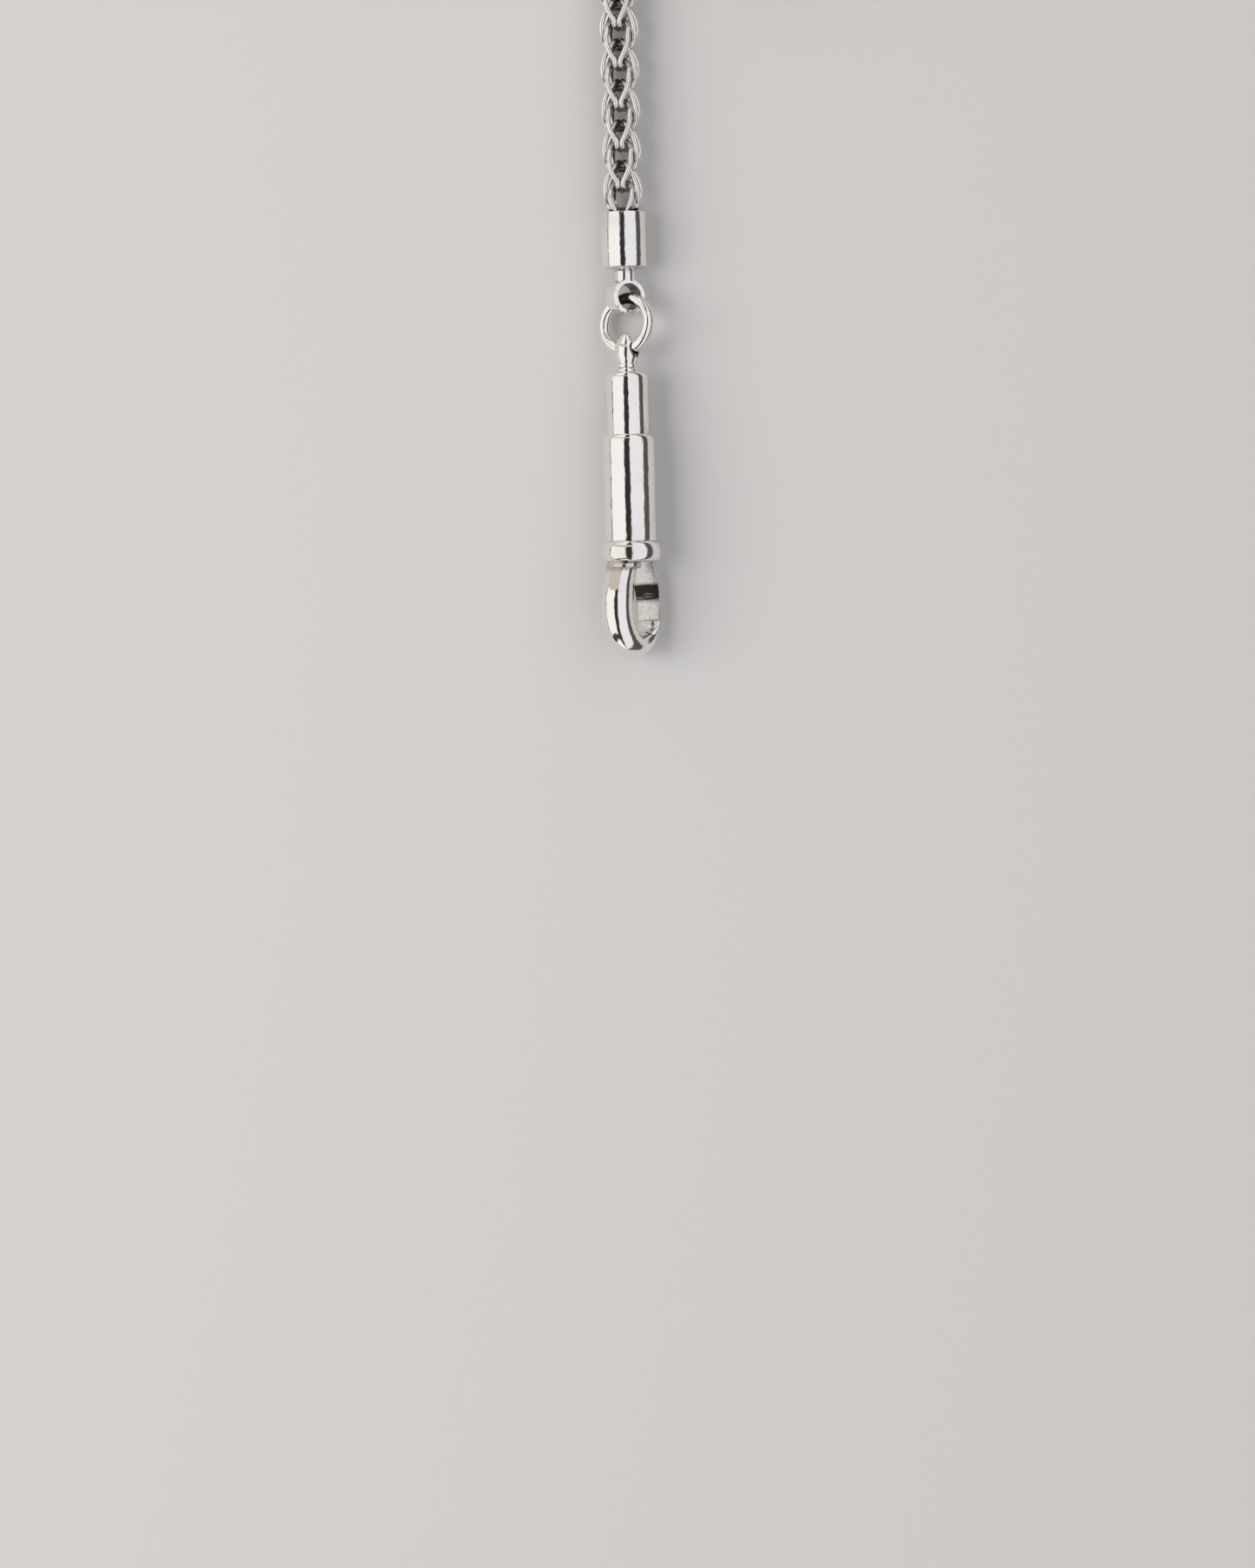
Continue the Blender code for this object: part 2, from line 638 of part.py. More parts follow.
def tail_heading():
    """The way the tail lies, back along the run and a little inwards."""
    return Vector((-math.sin(TAIL_TURN), -math.cos(TAIL_TURN), 0))


def least_gap(line):
    """The least clear space between the coil's turns, measured on fine points."""
    fine = smooth_line(line, 6)
    least = math.inf
    apart = 8 * CHAIN_RADIUS
    walked = [0.0]
    for a, b in zip(fine, fine[1:]):
        walked.append(walked[-1] + (b - a).length)
    for i, a in enumerate(fine):
        for j in range(i + 1, len(fine)):
            if walked[j] - walked[i] > apart:
                least = min(least, (fine[j] - a).length)
    return least - 2 * CHAIN_RADIUS, walked[-1]


def make_coil():
    line = coil_line()
    gap, length = least_gap(line)
    print(f"coil: {length / MM:.1f} mm of chain, least gap to itself {gap / MM:.2f} mm")
    wire("chain_coil", line, CHAIN_RADIUS, chain_silver(), None, False)


def make_t_bar(carrier):
    """A turned bar with ball ends and a loop at its middle, towards +X."""
    half = BAR_LENGTH / 2
    ball = []
    for i in range(5):
        angle = i / 4 * 0.75 * math.pi
        ball.append((half - BALL_RADIUS + BALL_RADIUS * math.cos(angle),
                     BALL_RADIUS * math.sin(angle)))
    boss = [(BOSS_RADIUS, BAR_RADIUS), (0.5 * BOSS_RADIUS, BOSS_RADIUS)]
    one_end = ball + boss
    other_end = [(-spot, radius) for spot, radius in reversed(one_end)]
    bar = add("t_bar", turned(one_end + other_end, closed=False, segments=16), silver(), carrier)
    loop_radius = LOOP_HOLE_RADIUS + LOOP_WIRE_RADIUS
    section = []
    sides = 8
    for i in range(sides):
        angle = 2 * math.pi * i / sides
        section.append((LOOP_WIRE_RADIUS * math.sin(angle),
                        loop_radius + LOOP_WIRE_RADIUS * math.cos(angle)))
    loop = add("t_bar_loop", turned(section, closed=True, segments=20), silver(), carrier,
               Matrix.Translation((loop_offset(), 0, 0)))
    combine(bar, loop, "UNION")


def loop_offset():
    return BOSS_RADIUS + LOOP_HOLE_RADIUS + LOOP_WIRE_RADIUS


def make_clasp():
    axis = place("clasp_axis", along(0, CLASP_HEIGHT), [(HOOK_ROLL, "Y")])
    make_hook(axis)
    make_barrel(axis)
    make_spring(axis)
    slide = place("sleeve_slide", along(0, CLASP_HEIGHT), [(HOOK_ROLL, "Y")])
    make_sleeve(slide)
    make_gate(slide)
    make_swivel(place("swivel_axis", along(0, CLASP_HEIGHT), [(-HEAD_ROLL, "Y")]))


def make_near_end():
    """The ring between the swivel and the chain's near end cap, and that cap."""
    low = along(HEAD_HOLE, CLASP_HEIGHT)
    high = along(EYE_CENTRE, CUP_HEIGHT)
    climb = (high - low).normalized()
    across = Vector((math.cos(RING_TILT), 0, math.sin(RING_TILT)))
    normal = across.cross(climb).normalized()
    across = climb.cross(normal)
    frame = Matrix((across, climb, normal)).transposed().to_4x4()
    ring_place = place("ring_place", (0, 0, 0))
    ring_place.matrix_world = Matrix.Translation(low + climb * RING_RADIUS) @ frame
    make_ring("jump_ring", ring_place)
    make_end_cap("end_cap", place("cap_eye", high, [(EYE_ROLL, "Y")]))


def make_run():
    turns = [(CHAIN_ROLL, "Y"), (-RUN_SLOPE, "X")]
    make_links(place("chain_run", along(FIRST_FOLD, CUP_HEIGHT), turns))


def make_far_end():
    """The far end cap, its ring lying flat, and the T-bar beside it."""
    heading = tail_heading()
    turn = math.atan2(heading.x, -heading.y)
    mouth = coil_line()[-1] - heading * TAIL_IN_CUP
    eye = mouth + heading * (CUP_MOUTH - EYE_CENTRE)
    eye.z = CUP_HEIGHT
    make_end_cap("far_end_cap", place("far_cap_eye", eye, [(math.pi / 2, "Y"), (turn, "Z")]))
    lowered = CUP_HEIGHT - BALL_RADIUS
    ring_middle = eye + heading * (RING_RADIUS + 0.07 * MM) - Vector((0, 0, lowered / 2))
    make_ring("far_jump_ring", place("far_ring_place", ring_middle))
    side = Vector((heading.y, -heading.x, 0))
    bar_middle = ring_middle + side * (RING_RADIUS + loop_offset())
    bar_middle.z = BALL_RADIUS
    make_t_bar(place("t_bar_place", bar_middle, [(turn, "Z")]))


def main():
    for thing in list(bpy.data.objects):
        bpy.data.objects.remove(thing, do_unlink=True)
    make_clasp()
    make_near_end()
    make_run()
    make_coil()
    make_far_end()


main()
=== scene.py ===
"""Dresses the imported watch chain: wire links, end caps, rings, swivel clasp, T-bar and studio."""

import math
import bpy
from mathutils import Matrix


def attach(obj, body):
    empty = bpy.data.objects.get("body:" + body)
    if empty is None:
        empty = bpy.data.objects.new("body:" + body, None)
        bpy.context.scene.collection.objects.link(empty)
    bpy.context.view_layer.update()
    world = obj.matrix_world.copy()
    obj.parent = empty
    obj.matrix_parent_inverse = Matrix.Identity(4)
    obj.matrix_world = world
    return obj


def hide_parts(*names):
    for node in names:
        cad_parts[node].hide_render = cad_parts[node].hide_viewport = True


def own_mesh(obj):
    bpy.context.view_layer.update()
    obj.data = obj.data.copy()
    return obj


bl_info = {
    "name": "Watch Chain",
    "version": (1, 0, 0),
    "blender": (4, 5, 0),
    "location": "3D View > Sidebar > Watch Chain",
    "description": "Models a woven silver watch chain with its swivel clasp and T-bar",
    "category": "Add Mesh",
}

import bpy
import numpy as np
from bpy.props import FloatProperty, FloatVectorProperty, IntProperty, PointerProperty
from bpy.types import Operator, Panel, PropertyGroup
from mathutils import Matrix, Vector

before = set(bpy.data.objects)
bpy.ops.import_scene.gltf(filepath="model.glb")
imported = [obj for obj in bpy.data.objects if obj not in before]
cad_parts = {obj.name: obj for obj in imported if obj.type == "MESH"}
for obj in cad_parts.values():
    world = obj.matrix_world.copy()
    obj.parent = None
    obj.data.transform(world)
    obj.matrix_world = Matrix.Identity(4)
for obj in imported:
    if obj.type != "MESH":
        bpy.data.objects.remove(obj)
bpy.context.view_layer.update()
# Name of the point attribute that holds how much painted shade each point gets
PAINTED_SHADE = "painted_shade"
SMOOTH_ANGLE = math.radians(32)
# Steps along the leg, nose and bend of a link
FINE_LINK = (14, 9, 5)
COARSE_LINK = (4, 3, 2)
# Metres: a pole's radius before it is merged, the merging distance, a hair of room between
# faces, the depth of handling marks and the look to either side for a heading
POLE = 2e-7
WELD = 1e-6
HAIR = 0.00002
MARK_DEPTH = 0.00002
LOOK = 0.0004


def length(name, millimetres, description):
    """A size a user can change, given in millimetres and kept in metres."""
    return FloatProperty(name=name, description=description, default=millimetres / 1000,
                         unit="LENGTH", precision=5)


def angle(name, degrees, description):
    return FloatProperty(name=name, description=description, default=math.radians(degrees),
                         subtype="ANGLE")


def colour(name, values, description):
    return FloatVectorProperty(name=name, description=description, default=values,
                               subtype="COLOR", size=3, min=0.0, max=1.0)


class LinkSizes(PropertyGroup):
    """Wire links of the woven chain"""
    count: IntProperty(name="Links", description="Links in the straight run", default=14)
    wire: length("Wire radius", 0.205, "Half the thickness of the link wire")
    pitch: length("Pitch", 3.34, "Step between two links that face the same way")
    play: length("Play", 0.20, "Loose room of a fold in the ears it goes through")
    gap: length("Wire gap", 0.03, "Gap between the two wires of a fold")
    ear_width: length("Ear half width", 0.90, "Half the width of an ear")
    widest_at: length("Widest at", 2.40, "Where an ear is widest, from the fold")
    roundness: FloatProperty(name="Roundness", description="How blunt an ear's end is", default=3.0)
    ear_fall: length("Ear fall", 1.15, "How far an ear's end dips into the chain")
    fold_fall: length("Fold fall", 0.45, "How far an ear dips towards the fold")
    bulge_at: length("Bulge at", 1.35, "Where an ear stands out furthest, from the fold")
    fold_bend: length("Fold bend", 0.50, "Bend from the fold into the ear")
    radius: length("Chain radius", 1.565, "Half the thickness of the chain")
    roll: angle("Roll", -10, "How far the chain is rolled over on the table")
    pinch: FloatProperty(name="Pinch", description="Narrowing inside an end cap", default=0.72)
    pinch_length: length("Pinch length", 1.20, "Over which a pinched link opens out")


class EndSizes(PropertyGroup):
    """End caps, jump rings and T-bar"""
    cup_radius: length("Cup radius", 1.90, "Outside of an end cap")
    cup_length: length("Cup length", 4.54, "Length of an end cap's cup")
    cup_depth: length("Cup depth", 3.30, "Depth of its bore")
    cup_gap: length("Cup gap", 0.055, "Room between chain and bore")
    fold_in_cup: length("Fold in cup", 1.47, "Depth of the first fold below the mouth")
    neck: length("Neck radius", 0.85, "Neck between cup and eye")
    neck_flare: length("Neck flare", 0.30, "Widening of the neck at the cup")
    neck_length: length("Neck length", 0.95, "Length of the neck")
    eye: length("Eye radius", 1.48, "Outside of the eye")
    eye_hole: length("Eye hole", 1.05, "Radius of the drilled hole")
    eye_thick: length("Eye thickness", 1.50, "Width of the eye's rim")
    edge: length("Edge", 0.13, "Broken edges of the cup")
    eye_edge: length("Eye edge", 0.06, "Broken edges of the eye")
    eye_roll: angle("Eye roll", 30, "Turn of the near eye about the chain")
    ring: length("Ring radius", 2.16, "Jump ring, to the middle of its wire")
    ring_wire: length("Ring wire", 0.485, "Half the thickness of the ring's wire")
    ring_tilt: angle("Ring tilt", 33, "Lean of the near ring")
    ring_swing: angle("Ring swing", 25, "Swing of the near ring in the swivel head")
    ring_slack: length("Ring slack", 0.07, "Slack between ring and eye")
    bar_length: length("Bar length", 20.0, "T-bar from end to end")
    bar: length("Bar radius", 0.75, "T-bar's rod")
    ball: length("Ball radius", 1.20, "T-bar's ball ends")
    boss: length("Boss radius", 1.00, "Swelling at the T-bar's middle")
    loop_hole: length("Loop hole", 0.92, "Inside of the T-bar's loop")
    loop_wire: length("Loop wire", 0.30, "Half the thickness of the loop")


class ClaspSizes(PropertyGroup):
    """Swivel clasp with a sliding sleeve"""
    head: length("Head radius", 1.00, "Swivel head at its widest")
    head_height: length("Head height", 2.60, "Swivel head from bead to apex")
    head_hole_at: length("Hole at", 1.14, "Ring hole above the head's foot")
    head_roll: angle("Head roll", 33, "Turn of the ring hole about the clasp")
    bead: length("Bead radius", 0.86, "Bead under the head")
    bead_length: length("Bead length", 0.37, "Length of that bead")
    stem: length("Stem radius", 0.55, "Swivel stem in the barrel")
    rivet: length("Rivet radius", 1.00, "Riveted end of the stem")
    rivet_length: length("Rivet length", 0.55, "Thickness of that end")
    hole_gap: length("Hole gap", 0.08, "Room round a pin in its hole")
    barrel: length("Barrel radius", 1.80, "Narrow upper barrel")
    barrel_wall: length("Barrel wall", 0.45, "Wall of the barrel")
    barrel_shows: length("Barrel shows", 5.20, "Barrel above the closed sleeve")
    barrel_shoulder: length("Barrel shoulder", 0.60, "Rounding of its top")
    barrel_top: length("Barrel top", 0.85, "Thickness of its top")
    lip_width: length("Lip width", 0.40, "Lip round the stem's hole")
    lip_height: length("Lip height", 0.18, "Height of that lip")
    lip_round: length("Lip round", 0.06, "Rounding of that lip")
    guide: length("Guide", 1.55, "Barrel inside the closed sleeve")
    sleeve: length("Sleeve radius", 2.20, "Sliding sleeve")
    sleeve_length: length("Sleeve length", 8.82, "Length of the sleeve")
    sleeve_shoulder: length("Sleeve shoulder", 0.55, "Height of its rounded top edge")
    collar: length("Collar radius", 2.53, "Grip collar at its widest")
    collar_length: length("Collar length", 1.70, "Length of the collar")
    collar_foot: length("Collar foot", 0.45, "Rounding of the collar's foot")
    collar_crown: length("Collar crown", 0.05, "Swell of the collar's side")
    spigot: length("Spigot", 0.50, "Collar inside the sleeve")
    run_gap: length("Running gap", 0.03, "Room between barrel and sleeve")
    seat_gap: length("Seat gap", 0.03, "Solder gap between fixed pieces")
    turn_gap: length("Turning gap", 0.10, "End play of the swivel")
    shank: length("Shank radius", 0.75, "Hook's shank in the sleeve")
    plug: length("Plug length", 4.00, "Shank's plug in the barrel")
    flange: length("Flange radius", 1.55, "Half width of the hook's oval stop flange")
    flange_depth: length("Flange depth", 1.38, "Half depth of that flange")
    flange_offset: length("Flange offset", 1.00, "Its middle off the axis")
    flange_length: length("Flange length", 0.50, "Thickness of that flange")
    hook_roll: angle("Hook roll", 48, "Turn of the hook's plane about the clasp")
    hook_reach: length("Hook reach", 6.85, "Hook's bend below the collar")
    hook_swell: length("Hook swell", 1.84, "How far the hook stands off the axis")
    hook_root: length("Hook root", 1.15, "Root of the hook off the axis")
    hook_root_radius: length("Root radius", 1.20, "Hook at its root")
    hook_thick: length("Hook radius", 1.34, "Hook at its thickest")
    hook_bend: length("Bend radius", 0.98, "Hook's half thickness at its bend")
    tip_gap: length("Tip gap", 0.10, "Between hook tip and gate")
    gate_in: length("Gate inside", 1.60, "Gate's inner face off the axis")
    gate_length: length("Gate length", 4.75, "Gate below the collar")
    gate_depth: length("Gate root", 1.00, "Gate's root in the collar")
    gate_root_width: length("Gate root width", 1.73, "Gate's width at the collar")
    gate_root_thick: length("Gate root thickness", 0.34, "Gate's thickness at the collar")
    gate_width: length("Gate width", 2.46, "Gate's width at its foot")
    gate_thick: length("Gate thickness", 0.78, "Gate's thickness at its foot")
    gate_flare: length("Gate flare", 1.80, "Over which the gate widens")
    gate_bend: length("Gate bend", 0.30, "How far the gate's inner face bends outwards")
    spring_wire: length("Spring wire", 0.14, "Half the thickness of the gate spring's wire")
    spring_turns: IntProperty(name="Spring turns", description="Turns of the gate spring",
                              default=6)
    edge: length("Edge", 0.05, "Broken edges of sleeve and gate")


class CoilSizes(PropertyGroup):
    """Flat coil of the chain that the view does not show"""
    radius: length("Radius", 13.0, "Half width of the outer turn")
    straight: length("Straight", 34.0, "How much longer than wide the coil is")
    step: length("Step", 4.0, "Step between turns")
    turns: FloatProperty(name="Turns", description="Turns of the coil", default=1.45)
    lead: length("Lead", 24.5, "Straight run beside the coil")
    tail_turn: angle("Tail turn", 8, "Lean of the tail into the coil")
    gap: length("Gap", 0.30, "Room past the last link of the run")
    tail_in_cup: length("Tail in cup", 2.50, "Chain inside the far end cap")


class Finishes(PropertyGroup):
    """Metal and studio colours"""
    silver: colour("Polished silver", (0.90, 0.88, 0.85), "Turned and polished pieces")
    wire: colour("Wire silver", (0.93, 0.90, 0.87), "Drawn wire of the links")
    # Warm brown: the tint of the random film and, darkened, the colour of the painted shade in
    # hollows, holes and under parts
    film_and_shade: colour("Warm Shade", (0.30, 0.23, 0.17), "Warm film in seams and hollows")
    spring: colour("Spring steel", (0.52, 0.52, 0.54), "Wire of the gate spring")
    floor: colour("Floor", (0.66, 0.65, 0.63), "Plain floor")


class WatchChain(PropertyGroup):
    """All the sizes and colours of the watch chain"""
    links: PointerProperty(type=LinkSizes)
    ends: PointerProperty(type=EndSizes)
    clasp: PointerProperty(type=ClaspSizes)
    coil: PointerProperty(type=CoilSizes)
    finish: PointerProperty(type=Finishes)


def carrier(point, turn):
    """A frame at the point, turned about the chain's length."""
    return Matrix.Translation(point) @ Matrix.Rotation(turn, 4, "Y")


class Layout:
    """Stations along the chain, heights and carrying frames, from the sizes."""
    cup_facets = 24
    lead_steps = 10
    turn_steps = 72
    squareness = 3

    def __init__(self, sizes):
        links, ends, clasp, coil = sizes.links, sizes.ends, sizes.clasp, sizes.coil
        self.sleeve_head = clasp.collar_length + clasp.sleeve_length
        self.barrel_foot = self.sleeve_head - clasp.guide
        self.barrel_head = self.sleeve_head + clasp.barrel_shows
        self.lip_head = self.barrel_head + clasp.lip_height
        self.head_foot = self.lip_head + clasp.turn_gap + clasp.bead_length
        self.head_hole = self.head_foot + clasp.head_hole_at
        self.head_apex = self.head_foot + clasp.head_height
        self.eye = self.head_hole + 2 * ends.ring + ends.ring_slack
        self.cup_foot = self.eye + ends.eye + ends.neck_length
        self.cup_mouth = self.cup_foot + ends.cup_length
        self.first_fold = self.cup_mouth - ends.fold_in_cup
        self.ear_end = links.pitch + 2 * links.wire + links.play
        last_fold = self.first_fold + (links.count - 1) * links.pitch / 2
        run_end = last_fold + self.ear_end + links.wire
        self.coil_start = run_end + coil.gap
        lowest = -clasp.hook_reach - clasp.hook_bend
        self.middle = (lowest + run_end) / 2
        self.clasp_height = clasp.collar + HAIR
        self.cup_height = ends.cup_radius * math.cos(math.pi / self.cup_facets)
        self.chain_height = links.radius + HAIR
        self.slope = math.atan2(self.cup_height - self.chain_height,
                                self.coil_start - self.first_fold)
        self.sizes = sizes

    def at(self, station, height, aside=0.0):
        return Vector((aside, station - self.middle, height))

    def clasp_frame(self):
        return carrier(self.at(0, self.clasp_height), self.sizes.clasp.hook_roll)

    def swivel_frame(self):
        return carrier(self.at(0, self.clasp_height), -self.sizes.clasp.head_roll)

    def ring_frame(self):
        ends = self.sizes.ends
        low = self.at(self.head_hole, self.clasp_height)
        high = self.at(self.eye, self.cup_height)
        climb = (high - low).normalized()
        across = Vector((math.cos(ends.ring_tilt), 0, math.sin(ends.ring_tilt)))
        normal = across.cross(climb).normalized()
        across = climb.cross(normal)
        turn = Matrix((across, climb, normal)).transposed().to_4x4()
        return Matrix.Translation(low + climb * ends.ring) @ turn

    def cap_frame(self):
        return carrier(self.at(self.eye, self.cup_height), self.sizes.ends.eye_roll)

    def run_frame(self):
        return (Matrix.Translation(self.at(self.first_fold, self.cup_height))
                @ Matrix.Rotation(-self.slope, 4, "X")
                @ Matrix.Rotation(self.sizes.links.roll, 4, "Y"))

    def heading(self):
        turn = self.sizes.coil.tail_turn
        return Vector((-math.sin(turn), -math.cos(turn), 0))

    def coil_point(self, turns):
        """The chain's centre after so many turns of the flat coil, winding inwards."""
        coil = self.sizes.coil
        radius = coil.radius - coil.step * turns
        spin = math.pi - 2 * math.pi * turns
        longer = math.tanh(self.squareness * math.sin(spin)) / math.tanh(self.squareness)
        middle = self.at(self.coil_start + coil.lead, self.chain_height, coil.radius)
        return middle + Vector((radius * math.cos(spin),
                                radius * math.sin(spin) + coil.straight / 2 * longer, 0))

    def coil_line(self):
        """The route of the chain past the run, from the fold after the last link."""
        links, coil = self.sizes.links, self.sizes.coil
        along = self.run_frame() @ Matrix.Translation((0, links.count * links.pitch / 2, 0))
        start = self.at(self.coil_start, self.chain_height)
        line = [along.translation, (along.translation + start) / 2, start]
        line += [start + Vector((0, coil.lead * i / self.lead_steps, 0))
                 for i in range(1, self.lead_steps)]
        count = round(coil.turns * self.turn_steps)
        line += [self.coil_point(coil.turns * i / count) for i in range(count + 1)]
        heading = self.heading()
        straight = 2 * links.radius
        rise = Vector((0, 0, self.cup_height - self.chain_height))
        end = line[-1]
        line += [end + (heading * straight + rise) * share for share in (0.33, 0.67, 1)]
        line += [line[-1] + heading * coil.tail_in_cup * share for share in (0.5, 1)]
        return line

    def far_cap_frame(self):
        coil = self.sizes.coil
        heading = self.heading()
        mouth = self.coil_line()[-1] - heading * coil.tail_in_cup
        eye = mouth + heading * (self.cup_mouth - self.eye)
        eye.z = self.cup_height
        return (Matrix.Translation(eye) @ Matrix.Rotation(-coil.tail_turn, 4, "Z")
                @ Matrix.Rotation(math.pi / 2, 4, "Y"))

    def far_ring_frame(self):
        ends = self.sizes.ends
        drop = (self.cup_height - ends.ball) / 2
        eye = self.far_cap_frame().translation
        return Matrix.Translation(eye + self.heading() * (ends.ring + ends.ring_slack)
                                  - Vector((0, 0, drop)))

    def bar_frame(self):
        ends = self.sizes.ends
        heading = self.heading()
        side = Vector((heading.y, -heading.x, 0))
        middle = self.far_ring_frame().translation + side * (ends.ring + self.loop_offset())
        middle.z = ends.ball
        return (Matrix.Translation(middle)
                @ Matrix.Rotation(-self.sizes.coil.tail_turn, 4, "Z"))

    def loop_offset(self):
        ends = self.sizes.ends
        return ends.boss + ends.loop_hole + ends.loop_wire


def layout(context):
    return Layout(context.scene.watch_chain)


# Modelling


def clear_selection():
    if bpy.context.object and bpy.context.object.mode != "OBJECT":
        bpy.ops.object.mode_set(mode="OBJECT")
    bpy.ops.object.select_all(action="DESELECT")


def select_only(piece):
    clear_selection()
    piece.select_set(True)
    bpy.context.view_layer.objects.active = piece


def lathe(name, profile, closed, sides=96):
    """Turn a piece about +Y: a circle is extruded to each (along, radius) station and scaled."""
    clear_selection()
    along, radius = profile[0]
    radius = max(radius, POLE)
    bpy.ops.mesh.primitive_circle_add(vertices=sides, radius=radius, fill_type="NOTHING",
                                      location=(0, along, 0), rotation=(math.pi / 2, 0, 0))
    piece = bpy.context.object
    piece.name = name
    bpy.ops.object.transform_apply(location=True, rotation=True, scale=True)
    bpy.ops.object.mode_set(mode="EDIT")
    bpy.ops.mesh.select_all(action="SELECT")
    stations = list(profile[1:]) + ([profile[0]] if closed else [])
    for next_along, next_radius in stations:
        next_radius = max(next_radius, POLE)
        bpy.ops.mesh.extrude_region_move(
            TRANSFORM_OT_translate={"value": (0, next_along - along, 0)})
        grow = next_radius / radius
        bpy.ops.transform.resize(value=(grow, 1, grow), center_override=(0, next_along, 0))
        along, radius = next_along, next_radius
    bpy.ops.mesh.select_all(action="SELECT")
    bpy.ops.mesh.remove_doubles(threshold=WELD)
    bpy.ops.mesh.normals_make_consistent(inside=False)
    bpy.ops.object.mode_set(mode="OBJECT")
    return piece


def arc(middle, size, start, end, steps):
    """(along, radius) points on an oval, from one turn to another."""
    turns = [start + (end - start) * i / steps for i in range(steps + 1)]
    return [(middle[0] + size[0] * math.cos(turn), middle[1] + size[1] * math.sin(turn))
            for turn in turns]


def quarter(head, radius, tall, deep):
    """A quarter round from an outside radius in to a top face."""
    return arc((head - tall, radius - deep), (tall, deep), math.pi / 2, 0, steps=10)


def smooth_profile(points, steps):
    """A turned outline drawn smoothly through its stations."""
    line = smooth_line([Vector((a, b)) for a, b in points], steps)
    return [(p.x, p.y) for p in line]


def smooth_line(points, steps):
    """Points on a smooth curve through the given ones, so many steps between each two."""
    line = []
    last = len(points) - 1
    for i in range(last):
        before, here = points[max(i - 1, 0)], points[i]
        there, after = points[i + 1], points[min(i + 2, last)]
        for k in range(steps):
            t = k / steps
            line.append(0.5 * (2 * here + (there - before) * t
                               + (2 * before - 5 * here + 4 * there - after) * t * t
                               + (3 * here - before - 3 * there + after) * t ** 3))
    line.append(points[-1])
    return line


def skinned(name, sections):
    """A closed piece through rings of points, with flat ends."""
    points = [tuple(p) for section in sections for p in section]
    sides = len(sections[0])
    faces = []
    for row in range(len(sections) - 1):
        for i in range(sides):
            j = (i + 1) % sides
            faces.append((row * sides + i, row * sides + j,
                          (row + 1) * sides + j, (row + 1) * sides + i))
    faces.append(tuple(range(sides)))
    faces.append(tuple(range(len(points) - sides, len(points))))
    mesh = bpy.data.meshes.new(name)
    mesh.from_pydata(points, [], faces)
    piece = bpy.data.objects.new(name, mesh)
    bpy.context.collection.objects.link(piece)
    select_only(piece)
    bpy.ops.object.mode_set(mode="EDIT")
    bpy.ops.mesh.select_all(action="SELECT")
    bpy.ops.mesh.normals_make_consistent(inside=False)
    bpy.ops.object.mode_set(mode="OBJECT")
    return piece


def merge_into(piece, tool, operation):
    """Join the tool to the piece or cut it out, and remove the tool."""
    select_only(piece)
    modifier = piece.modifiers.new(operation.lower(), "BOOLEAN")
    modifier.operation = operation
    modifier.object = tool
    bpy.ops.object.modifier_apply(modifier=modifier.name)
    bpy.data.objects.remove(tool, do_unlink=True)


def break_edges(piece, width, limit):
    """Round edges sharper than the limit a little, as polishing leaves them."""
    select_only(piece)
    modifier = piece.modifiers.new("broken_edges", "BEVEL")
    modifier.width = width
    modifier.segments = 2
    modifier.limit_method = "ANGLE"
    modifier.angle_limit = limit
    bpy.ops.object.modifier_apply(modifier=modifier.name)


def ease(value, low, high):
    """Nought below the low value, one above the high one, and smooth between them."""
    share = min(max((value - low) / (high - low), 0.0), 1.0)
    return share * share * (3 - 2 * share)


def darken(piece, rule):
    """Note on each point how much painted shade it gets, from a rule on its place."""
    marks = piece.data.attributes.new(PAINTED_SHADE, "FLOAT", "POINT")
    for point, mark in zip(piece.data.vertices, marks.data):
        mark.value = rule(point.co)


def settle(piece, place, material, body, node):
    """Put a finished piece in its place, give it its metal, tie it to its body and hide the node it
    stands in for.
    """
    select_only(piece)
    piece.matrix_world = place
    bpy.ops.object.transform_apply(location=True, rotation=True, scale=True)
    bpy.ops.object.shade_smooth_by_angle(angle=SMOOTH_ANGLE)
    piece.data.materials.clear()
    piece.data.materials.append(material)
    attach(piece, body)
    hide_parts(node)
    piece.select_set(False)


def settle_silver(context, piece, place, body, node):
    """Settle a turned and polished piece."""
    settle(piece, place, polished(context), body, node)


# Metals


def add_node(tree, kind, values=None, **settings):
    """A node with its settings, and values for inputs that nothing is linked to."""
    node = tree.nodes.new(kind)
    for name, setting in settings.items():
        setattr(node, name, setting)
    for entry, value in (values or {}).items():
        node.inputs[entry].default_value = value
    return node


def remap(tree, low, high, to_low=0.0, to_high=1.0, **settings):
    """A node that maps one range of values to another."""
    values = {"From Min": low, "From Max": high, "To Min": to_low, "To Max": to_high}
    return add_node(tree, "ShaderNodeMapRange", values, **settings)


def wire_up(tree, *joins):
    """Link nodes, each join given as giver, output, taker and input."""
    for giver, output, taker, entry in joins:
        tree.links.new(giver.outputs[output], taker.inputs[entry])


